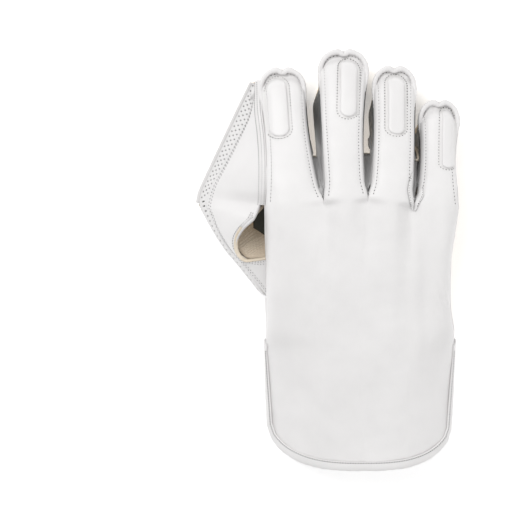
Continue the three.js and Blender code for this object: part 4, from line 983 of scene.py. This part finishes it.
def perforate(grid, rows=HOLE_ROWS, pitch=HOLE_PITCH, hole=HOLE_SIZE, inset=0.2):
    """Presses small round holes into a strip: staggered rows spaced along the strip's length.

    Each point's depth is a smooth step of its distance from the nearest centre, both measured
    along the strip's middle line and across it.
    """
    middle = grid[:, grid.shape[1] // 2]
    u = np.concatenate([[0], np.cumsum(np.linalg.norm(np.diff(middle, axis=0), axis=1))])[:, None]
    line = np.gradient(middle, axis=0)
    line /= np.linalg.norm(line, axis=1, keepdims=True)
    u = u + ((grid - middle[:, None]) * line[:, None]).sum(-1)
    width = np.linalg.norm(np.cross(grid[:, -1] - grid[:, 0], line), axis=1)[:, None]
    v = np.linspace(0, 1, grid.shape[1])[None] * width
    deep = np.zeros(grid.shape[:2])
    for k in range(rows):
        centre = mix(inset, 1 - inset, k / (rows - 1)) * width
        along = (np.round(u / pitch - 0.5 * (k % 2)) + 0.5 * (k % 2)) * pitch
        deep = np.maximum(deep, smooth(1.5 - np.hypot(u - along, v - centre) / hole))
    return grid - normals(grid) * (deep * HOLE_DEPTH)[..., None], deep


# Half widths and half heights of the two cords, and where they lie from their seam and rim.
PIPING, PIPING_PLACE, PIPING_POINTS = (1.4, 2.3), (-0.6, 0, -1.2), 110
RIM, RIM_DROP, RIM_START, RIM_POINTS = (1.05, 1.7), 0.9, 18, 90
# Corners of a near-black sheet that paints the shadow seen through the thumb's hole, X from the hand's edge.
HOLE_SHADOW_CORNERS = np.array([[[-9, 38.0, 29], [1.5, 43, 31]], [[-9, 24, 25], [1.5, 17, 25]]])
HOLE_SHADOW_WALL = 0.8
# Rows and columns of the strip, the perforated edge and the gusset.
STRIP_GRID, EDGE_GRID, GUSSET_GRID = (130, 12), (430, 28), (420, 52)


class GLOVE_OT_web(bpy.types.Operator):
    """Sew the web panel, its perforated edge, the gusset, the piping and the hole's rim"""
    bl_idname = "glove.web"
    bl_label = "Web and thumb"

    def execute(self, context):
        made = finishes(context.scene.padded_glove)
        panel = web_panel_grid()
        lay("web_panel_leather", [panel], made["web"], "web_panel", LEATHER)
        side, fall = finger_side(), np.array([-SEAM_STRIP, 0, -STRIP_FALL])
        strip = net([side, side + fall / 2 + np.array([0, 0, STRIP_CROWN]), side + fall], *STRIP_GRID)
        lay("index_strip_leather", [strip], made["binding"], "index_seam_strip", LEATHER)
        edge = net([web_point(1), web_point(4)], *EDGE_GRID)
        # Painted shade: the depth of each hole, here and in the gusset, also darkens its colour.
        holed, deep = perforate(edge)
        lay("perforated_strip", [holed], made["perforated"], "web_edge_strip", LEATHER,
            [deep])
        low = np.concatenate([place(GUSSET_CORNER, 0), place(THUMB_RUBBER, 0)])
        low[:, 2] = np.maximum(low[:, 2] - PRESS, 0)
        gusset = net([place(GUSSET, 0), place(GUSSET, 3), low], *GUSSET_GRID)
        holed, deep = perforate(gusset, hole=0.55, inset=0.22)
        lay("perforated_gusset", [np.maximum(holed, ABOVE_FLOOR)], made["perforated"], "thumb_gusset",
            LEATHER, [deep])
        path, inside = (even(curve(web_point(k), np.linspace(0, 1, 200)), PIPING_POINTS) for k in (4, 1))
        tube = closed_tube(path + np.array(PIPING_PLACE), inside, ring(*PIPING)[None])
        lay("web_piping_cord", [turned_out(tube)], made["piping"], "web_piping")
        rim = np.concatenate([place(THUMB_BACK, 0)[:3] + np.array([0, 2, 0.5]), place(THUMB_BACK, 0)[3:]])
        line = even(curve(rim, np.linspace(0, 1, 160)), RIM_POINTS)
        outer = even(curve(place(THUMB_BACK, 3), np.linspace(0, 1, 160)), RIM_POINTS)
        plump = 1 + 0.06 * np.sin(np.arange(RIM_POINTS) * 1.3)[:, None, None]
        tube = closed_tube(line - np.array([0, 0, RIM_DROP]), outer, ring(*RIM)[None] * plump)
        lay("hole_rim_trim", [turned_out(tube[RIM_START:])], made["rim"], ())
        lay("hole_top_trim", [turned_out(tube[:RIM_START + 2])], made["piping"], ())
        u, v = np.meshgrid(np.linspace(0, 1, 12), np.linspace(0, 1, 12), indexing="ij")
        # Painted shadow: a near-black sheet inside the thumb's hole.
        lay("hole_shadow_sheet", [on_grid(HOLE_SHADOW_CORNERS + [LEFT, 0, 0], u, v)], made["dark"], (),
            HOLE_SHADOW_WALL)
        return {"FINISHED"}


BAND_SHARE = 0.96


def heel_grid():
    """The heel's leather: a net between its inner and outer seams, kept above the floor."""
    heel = np.swapaxes(net([place(HEEL, 0), place(HEEL, 3)], 60, 30), 0, 1)
    heel[..., 2] = np.maximum(heel[..., 2] - PRESS, 0)
    return heel


def band_grid(rows=12, columns=90):
    """The band across the palm side of the wrist: a squared-off arc from side seam to side seam."""
    start = 1 + SHEET_GAP / CUFF_LENGTH
    down = np.linspace(start, start + BAND_LENGTH / CUFF_LENGTH, rows)[:, None]
    angle = np.linspace(-1, 1, columns)[None] * HALF_TURN * BAND_SHARE
    left, right = (LEFT + column(SIDES, key, down) * HAND_WIDTH for key in (1, 2))
    x = mix(left, right, (across(angle) + 1) / 2)
    z = mix(column(SIDES, 3, down) * SIDE_SEAM, PALM[-1, 2] * KNUCKLE, forward(angle))
    p = points(x, WRIST - (down - 1) * CUFF_LENGTH, z)
    p[..., 2] = np.maximum(p[..., 2] - PRESS, 0)
    return p


class GLOVE_OT_heel(bpy.types.Operator):
    """Sew the heel's leather and the wrist band"""
    bl_idname = "glove.heel"
    bl_label = "Heel and wrist band"

    def execute(self, context):
        made = finishes(context.scene.padded_glove)
        heel = heel_grid()
        heel = np.maximum(heel - normals(heel) * 0.02, ABOVE_FLOOR)
        lay("heel_leather", [heel], made["back"], "heel_panel", LEATHER)
        lay("wrist_band_leather", [band_grid()], made["binding"], "wrist_band", LEATHER)
        return {"FINISHED"}


def cuff(share, s):
    """A point of the gauntlet's back at a share of its whole width."""
    share, s = np.broadcast_arrays(np.asarray(share, float), np.asarray(s, float))
    strip = np.clip((share * 4).astype(int), 0, 3)
    out = np.zeros(share.shape + (3,))
    for i in range(4):
        found = back(i, np.clip(share * 4 - i, 0, 1), s)
        out = np.where((strip == i)[..., None], found, out)
    return out


def lining_path(share, s):
    """Points on the gauntlet lining's inner face with the way into the cuff, at shares and places."""
    share, s = np.broadcast_arrays(np.asarray(share, float), np.asarray(s, float))
    step = 2e-3
    p = cuff(share, s)
    aside = cuff(share + step, s) - cuff(share - step, s)
    n = np.cross(aside, cuff(share, s + step) - cuff(share, s - step))
    n /= np.maximum(np.linalg.norm(n, axis=-1, keepdims=True), 1e-9)
    n *= -np.sign(n[:, 2:3] + 1e-9)
    return p + n * (LEATHER + LINING_GAP + LINING * 0.98), n


BINDING_POINTS = 260


def binding_lines():
    """The gauntlet's edge from wrist to wrist, and a line further in for the way across it."""
    sides, ends = -np.linspace(1.12, 1.95, 60), np.linspace(0.02, 0.98, 150)
    line = np.concatenate([cuff(0.0001, sides), cuff(ends, -2.0), cuff(0.9999, sides[::-1])])
    within = np.concatenate([cuff(0.03, sides), cuff(ends, -1.94), cuff(0.97, sides[::-1])])
    return even(line, BINDING_POINTS), even(within, BINDING_POINTS)


# The lining's sewn channels: where they end, the seam across them, and their depth and swell.
CROSS_SEAM, CHANNEL_END, CHANNEL_DEPTH, QUILT = -1.40, -1.76, 1.2, 0.72
# How far the binding reaches in over the leather and how high it stands.
BINDING_REACH, BINDING_RISE = 5.5, 1.9


class GLOVE_OT_gauntlet(bpy.types.Operator):
    """Fill the gauntlet with its channelled lining and bind its edge"""
    bl_idname = "glove.gauntlet"
    bl_label = "Gauntlet"

    def execute(self, context):
        made = finishes(context.scene.padded_glove)
        share, s = np.linspace(0.005, 0.995, 260), -np.linspace(1.99, 1.13, 90)
        outer = cuff(share[None], s[:, None])
        out = normals(outer)
        outer = outer - out * (LEATHER + LINING_GAP)
        length = smooth((CROSS_SEAM - s) * 24)[:, None] * smooth((s - CHANNEL_END) * 24)[:, None]
        groove = sum(bump((share[None] - c) * 140, 1.5) for c in CHANNELS) * length
        cross = bump((s[:, None] - CROSS_SEAM) * 100, 1.3) * smooth(np.minimum(share, 1 - share) * 20)[None]
        turn = (share[None] - CHANNELS[0]) * math.pi / (CHANNELS[1] - CHANNELS[0]) + HALF_TURN
        swell = QUILT * np.abs(np.cos(turn)) * length * (np.abs(share[None] - 0.5) < 0.39)
        edge = smooth(np.minimum(share, 1 - share) * 40)[None] * smooth((s + 1.99) * 40)[:, None] \
            * smooth((-1.13 - s) * 40)[:, None]
        depth = LINING * mix(0.35, 1, edge) + swell - groove * CHANNEL_DEPTH - cross
        inner = outer - out * depth[..., None]
        rim = [np.stack([inner[0], outer[0]])[:, ::-1], np.stack([inner[-1], outer[-1]]),
               np.stack([inner[:, 0], outer[:, 0]]), np.stack([inner[:, -1], outer[:, -1]])[:, ::-1]]
        sheets = [outer, inner[:, ::-1], *rim]
        # Painted shade: the lining darkens in its channels and along the seam across them.
        shades = [np.zeros(outer.shape[:2]), (0.2 * np.minimum(groove + cross, 1))[:, ::-1],
                  *[np.zeros(r.shape[:2]) for r in rim]]
        lining = lay("padded_lining", sheets, made["lining"], "gauntlet_lining",
                     shades=shades)

        path, inside = binding_lines()
        thick = LEATHER + LINING_GAP + LINING
        reach, high, low = BINDING_REACH, BINDING_RISE, -thick - BINDING_RISE
        top = [[-reach, 0.55], [-reach, high * 0.8], [-reach + 1.2, high], [-1.0, high], [1.0, high * 0.6],
               [1.9, 0], [1.9, -thick], [1.0, low + 0.8], [-1.0, low], [-reach + 1.2, low],
               [-reach, low + 0.5]]
        back_way = [[-reach, -thick - 0.7], [0.4, -thick - 0.5], [0.4, 0.35], [-reach, 0.55]]
        section = np.array(top + back_way)[None].repeat(BINDING_POINTS, 0)
        count = np.arange(BINDING_POINTS)
        pucker = 0.12 * np.sin(count * 1.15) + 0.1 * np.sin(count * 0.37)
        section[:, 1:10, 0] += pucker[:, None]
        tube = closed_tube(path, inside, section)
        lay("gauntlet_binding_leather", [turned_out(tube)], made["binding"], "gauntlet_binding")
        return {"FINISHED"}


# An insert's height over the leather at its rim and in its middle, and how uneven it is.
INSERT_RIM, INSERT_DOME, INSERT_UNEVEN, INSERT_WAVE = 0.25, 1.5, 0.15, 14.0


def insert_half(i):
    """Half the width of a finger's insert."""
    return FINGERS[i, PAD_SHARE] * PAD_WIDTH / 2 * INSERT_PLUMP


def insert_grid(i, rings=12):
    """A finger's insert: a bar with round ends, from its middle line out, domed like a pillow.

    The height is the square root of one less the fifth power of the share of the way out.
    """
    half = insert_half(i)
    straight = PAD_LENGTH / 2 - half
    arc, side = np.linspace(0, math.pi, 20), np.linspace(1, -1, 16)[1:-1]
    lateral = np.concatenate([half * np.cos(arc), np.full(14, -half), half * np.cos(arc + math.pi),
                              np.full(14, half), [half]])
    along = np.concatenate([straight + half * np.sin(arc), straight * side,
                            -straight + half * np.sin(arc + math.pi), -straight * side, [straight]])
    r = np.linspace(0, 1, rings)[:, None]
    middle = np.clip(along, -straight, straight) * 0.98
    centre, scale = pad_span(i)
    s = centre + mix(middle, along, r) * scale
    t = np.clip(lateral * r / finger_width(i, s) + 0.5 + FINGERS[i, PAD], 0.01, 0.99)
    base = skin(i, t, s)
    uneven = INSERT_UNEVEN * ripple(base[..., 0], base[..., 1], INSERT_WAVE, 70 + i)
    lift = INSERT_RIM + INSERT_DOME * np.sqrt(np.maximum(1 - r ** 5, 0)) + uneven
    return base + np.array([0, 0, 1.0]) * lift[..., None], base


# A tip's roll: its half width and half height, how it rises from its ends, how far it lies in
# from the edge, and the pinch at its middle.
ROLL, ROLL_RISE, ROLL_IN, ROLL_POINTS, ROLL_TAPER = (1.9, 1.7), (-0.3, 2.0), 0.045, 150, 34
PINCH, PINCH_WIDTH = 2.6, 2.6


def roll_tube(i):
    """A finger tip's rolled rim: a ring carried along the tip's edge.

    It is thin at both ends by a smooth step, drawn in at the middle by a bump, and made uneven by
    two sine waves.
    """
    arc, side = across_shares(90), np.linspace(0.76, 1, 40)
    edge = np.concatenate([back(i, 0.0, side)[:-1], back(i, arc, 1.0), back(i, 1.0, side[::-1])[1:]])
    path, count = even(edge, ROLL_POINTS), np.arange(ROLL_POINTS)
    centre = back(i, 0.5, 0.86)
    path[:, :2] = mix(path[:, :2], centre[:2], ROLL_IN)
    full = smooth(np.minimum(count, count[::-1]) / ROLL_TAPER)
    near = np.abs(path[:, 0] - back(i, 0.5, 1.0)[0]) + 20 * (path[:, 1] < centre[1])
    path[:, 1] -= PINCH * bump(near, PINCH_WIDTH)
    path[:, 2] += mix(*ROLL_RISE, full)
    fat = mix(0.3, 1, full) + 0.2 * bump(near - 4.5, 3) - 0.3 * bump(near, 1.1)
    fat = fat + 0.05 * np.sin(count * 1.4) + 0.04 * np.sin(count * 0.61 + i)
    inside = mix(path, centre, 0.3)
    inside[:, 2] = path[:, 2]
    return closed_tube(path, inside, ring(*ROLL, 16)[None] * fat[:, None, None])


class GLOVE_OT_tips(bpy.types.Operator):
    """Roll the finger tips' edges and set the oblong inserts"""
    bl_idname = "glove.tips"
    bl_label = "Tip rolls and inserts"

    def execute(self, context):
        made = finishes(context.scene.padded_glove)
        for i, name in enumerate(NAMES):
            lay(f"{name}_roll_leather", [turned_out(roll_tube(i))], made["binding"], f"{name}_tip_roll")
            top, base = insert_grid(i)
            under = base[-1:] - np.array([0, 0, SHEET_GAP])
            centre = under.mean(1, keepdims=True).repeat(under.shape[1], 1)
            grid = np.concatenate([top, under, centre])
            if normals(grid)[:8, :, 2].mean() < 0:
                grid = grid[:, ::-1]
            pad = lay(f"{name}_insert_pad", [grid], made["insert"], f"{name}_insert")
        legs = [fold_leg(i, side, reach, wide) for i, side, reach, wide in FOLD_LEGS]
        # Painted shade: the fold darkens along one long edge of each leg.
        lay("crotch_fold_leather", legs, made["binding"], (),
            shades=[0.3 * bump(np.linspace(0, 1, 12)[None] + np.zeros((40, 1)), 0.12)] * 2)
        return {"FINISHED"}


# The two legs of the fold between ring and little finger: finger, side, reach and width, and how
# much narrower its seam is.
FOLD_LEGS, FOLD_SEAM = ((2, 1, 0.27, 5.6), (3, 0, 0.26, 6.0)), 0.8


def fold_leg(i, side, reach, wide):
    """A leg of the folded patch at a crotch: it follows the skin, widest at the crotch, to a point.

    Its width is the square root of its place from either end, and its edges are rounded down.
    """
    s, v = np.linspace(-0.06, reach, 40)[:, None], np.linspace(0, 1, 12)[None]
    shape = wide * np.sqrt(np.clip((s + 0.06) / 0.16, 0, 1) * np.clip((reach - s) / reach, 0, 1)) + 0.02
    t = v * shape / finger_width(i, s)
    p = skin(i, 1 - t if side else t, s)
    p[..., 2] += 0.15 + 1.1 * smooth(np.minimum(v, 1 - v * 0.9) * 6) * smooth(shape)
    return p if side == 0 else p[:, ::-1]


def finger_path(i, t, s):
    """Points and normals of the back skin of a finger along a path of t and s."""
    step = 1e-3
    p = skin(i, t, s)
    du = skin(i, np.clip(np.asarray(t) + step, 0, 1), s) - skin(i, np.clip(np.asarray(t) - step, 0, 1), s)
    dv = skin(i, t, np.asarray(s) + step) - skin(i, t, np.asarray(s) - step)
    n = np.cross(du, dv)
    n /= np.maximum(np.linalg.norm(n, axis=-1, keepdims=True), 1e-9)
    return p, n * np.sign(n[:, 2:3] + 1e-9)


def insert_seam(i, count=241):
    """The seam round an insert, a fixed way outside it: straight sides and half circles at the ends."""
    out = insert_half(i) + INSERT_SEAM
    turn = np.linspace(0, math.tau, count)
    along = (PAD_LENGTH / 2 + INSERT_SEAM) * np.sin(turn)
    past = np.maximum(np.abs(along) - (PAD_LENGTH / 2 - insert_half(i)), 0)
    lateral = np.sign(np.cos(turn)) * np.sqrt(np.maximum(out ** 2 - past ** 2, 0))
    centre, scale = pad_span(i)
    s = centre + along * scale
    return lateral / (finger_edge(i, 1, s) - finger_edge(i, 0, s)) + 0.5 + FINGERS[i, PAD], s


# Lengths of stitches as shares of their pitch, for the back, for close rows and for the edges.
LONG, CLOSE, SHORT = 0.62, 0.5, 0.55
# How far the web's rows lie from the outer seam and from the rim, in mm, and where the rim starts.
OUTER_ROWS, RIM_ROWS, RIM_PLACE, TOP_PLACE, TOP_ROW = (2.4, 4.4), (2.6, 4.6), 0.46, 0.42, 1.4
STRIP_ROWS, STRIP_LIFT, HEEL_ROWS = (0.3, 0.7), 0.35, (0.05, 0.09)
UP = np.array([0, 0, 1.0])


def finger_rows(pitch):
    """Rows along a finger's edges, across its tip and round its insert, then round the fold."""
    rows = []
    for i in range(4):
        s = np.linspace(0.02, 0.985, 160)
        width = finger_width(i, s)
        for t in (SEAM_INSET / width, 1 - SEAM_INSET / width):
            rows.append(sew(*finger_path(i, t, s), pitch, pitch * LONG))
        arc = np.linspace(0.14, 0.86, 90)
        rows.append(sew(*finger_path(i, arc, np.full(90, 0.965)), pitch, pitch * LONG))
        t, s = insert_seam(i)
        good = (t > 0.05) & (t < 0.95) & (s < 0.985)
        for part in np.split(np.arange(len(t)), np.flatnonzero(np.diff(good)) + 1):
            if good[part[0]] and len(part) > 8:
                rows.append(sew(*finger_path(i, t[part], s[part]), pitch * 0.9, pitch * CLOSE))
    for i, side, reach, wide in FOLD_LEGS:
        leg = fold_leg(i, side, reach, wide - FOLD_SEAM)
        line = leg[4:-6, -1 if side == 0 else 0] + UP * 0.2
        rows.append(sew(line, np.tile(UP, (len(line), 1)), pitch * 0.7, pitch * 0.45))
    return rows


def web_rows(pitch):
    """Two rows along the web's outer seam, two along the hole's rim and one along its top."""
    rows = []
    panel = web_panel_grid()
    out = normals(panel)
    u = np.linspace(0.01, 0.99, 300)
    length = np.linalg.norm(panel[:, -1] - panel[:, 0], axis=1)
    wide = np.interp(u, np.linspace(0, 1, len(length)), length)
    for gap in OUTER_ROWS:
        v = 1 - gap / wide
        rows.append(sew(on_grid(panel, u, v), on_grid(out, u, v), pitch, pitch * LONG))
    low, top = u > RIM_PLACE, u < TOP_PLACE
    for gap in RIM_ROWS:
        v = gap / wide[low]
        rows.append(sew(on_grid(panel, u[low], v), on_grid(out, u[low], v), pitch * 0.8, pitch * CLOSE))
    beside = on_grid(panel, u[top], TOP_ROW / wide[top])
    rows.append(sew(beside, on_grid(out, u[top], 0 * u[top]), pitch * 0.7, pitch * 0.45))
    return rows


def seam_rows(pitch):
    """Rows on the index finger's strip, the binding's inner edge, the wrist band and the heel."""
    rows = []
    side = finger_side()
    strip = net([side, side + np.array([-SEAM_STRIP, 0, -STRIP_FALL])], 130, 6)
    strip[..., 2] += STRIP_LIFT
    up, u = normals(strip), np.linspace(0.01, 0.99, 300)
    for share in STRIP_ROWS:
        v = np.full(u.shape, share)
        rows.append(sew(on_grid(strip, u, v), on_grid(up, u, v), pitch * 0.6, pitch * 0.4))
    path, inside = binding_lines()
    on_top = np.tile([1.0 - BINDING_REACH, BINDING_RISE + 0.1], (BINDING_POINTS, 1, 1))
    line = closed_tube(path, inside, on_top, ends=False)[6:-6, 0]
    rows.append(sew(line, np.tile(UP, (len(line), 1)), pitch * 0.75, pitch * 0.4, 0.4))
    down = np.tile(-UP, (200, 1))
    along = np.linspace(0.12, 0.88, 200)
    rows.append(sew(on_grid(band_grid(), np.full(200, 0.8), along), down, pitch, pitch * SHORT))
    heel, share = np.swapaxes(heel_grid(), 0, 1), np.linspace(0.03, 0.97, 200)
    for inset in HEEL_ROWS:
        rows.append(sew(on_grid(heel, share, np.full(200, inset)), down, pitch, pitch * SHORT))
    return rows


def lining_rows(pitch):
    """Two rows beside each channel of the lining and one across their ends."""
    rows = []
    for centre in CHANNELS:
        for aside in (-0.012, 0.012):
            along = np.linspace(CHANNEL_END + 0.03, CROSS_SEAM - 0.02, 90)
            rows.append(sew(*lining_path(centre + aside, along), pitch, pitch * SHORT))
    rows.append(sew(*lining_path(np.linspace(0.08, 0.92, 260), CROSS_SEAM), pitch, pitch * SHORT))
    return rows


class GLOVE_OT_stitches(bpy.types.Operator):
    """Run the rows of stitches along the seams"""
    bl_idname = "glove.stitches"
    bl_label = "Stitches"

    def execute(self, context):
        props = context.scene.padded_glove
        made = finishes(props)
        pitch = props.stitch_pitch * 1000
        thread("finger_stitches", finger_rows(pitch), made["thread"])
        thread("web_stitches", web_rows(pitch), made["thread"])
        thread("seam_stitches", seam_rows(pitch), made["thread"])
        thread("lining_stitches", lining_rows(pitch), made["thread"])
        # Painted shade: near-black marks where the needle holes are.
        thread("needle_holes", HOLES, made["hole"])
        return {"FINISHED"}


# The stage: floor and sky, then each lamp's name, place in metres, size and power in watts.
FLOOR_HALF, FLOOR_GLOW, SKY = 3.0, 0.3, 0.575
LAMPS = (("key", (-0.7, 0.9, 1.4), 0.9, 15), ("fill", (1.0, -0.5, 1.3), 1.4, 7))


class GLOVE_OT_stage(bpy.types.Operator):
    """Set the pale floor, the soft lights and the camera over the glove"""
    bl_idname = "glove.stage"
    bl_label = "Stage"

    def execute(self, context):
        scene = context.scene
        mesh = bpy.data.meshes.new("floor")
        corners = [(x * FLOOR_HALF, y * FLOOR_HALF, 0) for x, y in ((-1, -1), (1, -1), (1, 1), (-1, 1))]
        mesh.from_pydata(corners, [], [(0, 1, 2, 3)])
        floor = bpy.data.objects.new("floor", mesh)
        scene.collection.objects.link(floor)
        f = Finish("pale_floor")
        pale = f.ramp(f.noise(3), [(0.3, (0.93, 0.93, 0.93)), (0.7, (0.95, 0.95, 0.95))])
        f.shader.inputs["Emission Color"].default_value = (1, 1, 1, 1)
        f.shader.inputs["Emission Strength"].default_value = FLOOR_GLOW
        mesh.materials.append(f.done(pale, 0.9))
        world = scene.world or bpy.data.worlds.new("studio")
        scene.world = world
        world.use_nodes = True
        world.node_tree.nodes["Background"].inputs["Color"].default_value = (1, 1, 1, 1)
        world.node_tree.nodes["Background"].inputs["Strength"].default_value = SKY
        for name, spot, size, power in LAMPS:
            lamp = bpy.data.lights.new(name, "AREA")
            lamp.size, lamp.energy = size, power
            light = bpy.data.objects.new(name, lamp)
            light.location = spot
            light.rotation_euler = (Vector((0, 0, 0)) - Vector(spot)).to_track_quat("-Z", "Y").to_euler()
            scene.collection.objects.link(light)
        scene.view_settings.view_transform = "Standard"
        camera = bpy.data.cameras.new("camera")
        camera.sensor_width = SENSOR
        camera.lens = SENSOR * (VIEW_HEIGHT - MID_HEIGHT) / (PICTURE * PIXEL)
        camera.dof.use_dof = False
        eye = bpy.data.objects.new("camera", camera)
        centre = (VIEW_CENTRE + SHIFT[:2]) / 1000
        eye.location = (centre[0], centre[1], VIEW_HEIGHT / 1000)
        scene.collection.objects.link(eye)
        scene.camera = eye
        return {"FINISHED"}


class GLOVE_PT_panel(bpy.types.Panel):
    """Lists the glove's steps and sizes"""
    bl_idname = "GLOVE_PT_panel"
    bl_label = "Glove"
    bl_space_type = "VIEW_3D"
    bl_region_type = "UI"
    bl_category = "Glove"

    def draw(self, context):
        for name in ("leather", "rubber", "stitch_pitch", "pimple_pitch", "pimple_rise"):
            self.layout.prop(context.scene.padded_glove, name)
        for step in STEPS:
            self.layout.operator(step.bl_idname)


STEPS = (GLOVE_OT_back, GLOVE_OT_palm, GLOVE_OT_walls, GLOVE_OT_web, GLOVE_OT_heel, GLOVE_OT_gauntlet,
         GLOVE_OT_tips, GLOVE_OT_stitches, GLOVE_OT_stage)
CLASSES = (PaddedGloveSizes, *STEPS, GLOVE_PT_panel)


def register():
    for item in CLASSES:
        bpy.utils.register_class(item)
    bpy.types.Scene.padded_glove = bpy.props.PointerProperty(type=PaddedGloveSizes)


def unregister():
    del bpy.types.Scene.padded_glove
    for item in reversed(CLASSES):
        bpy.utils.unregister_class(item)


def main():
    register()
    bpy.ops.glove.back()
    bpy.ops.glove.palm()
    bpy.ops.glove.walls()
    bpy.ops.glove.web()
    bpy.ops.glove.heel()
    bpy.ops.glove.gauntlet()
    bpy.ops.glove.tips()
    bpy.ops.glove.stitches()
    bpy.ops.glove.stage()


if __name__ == "__main__":
    main()
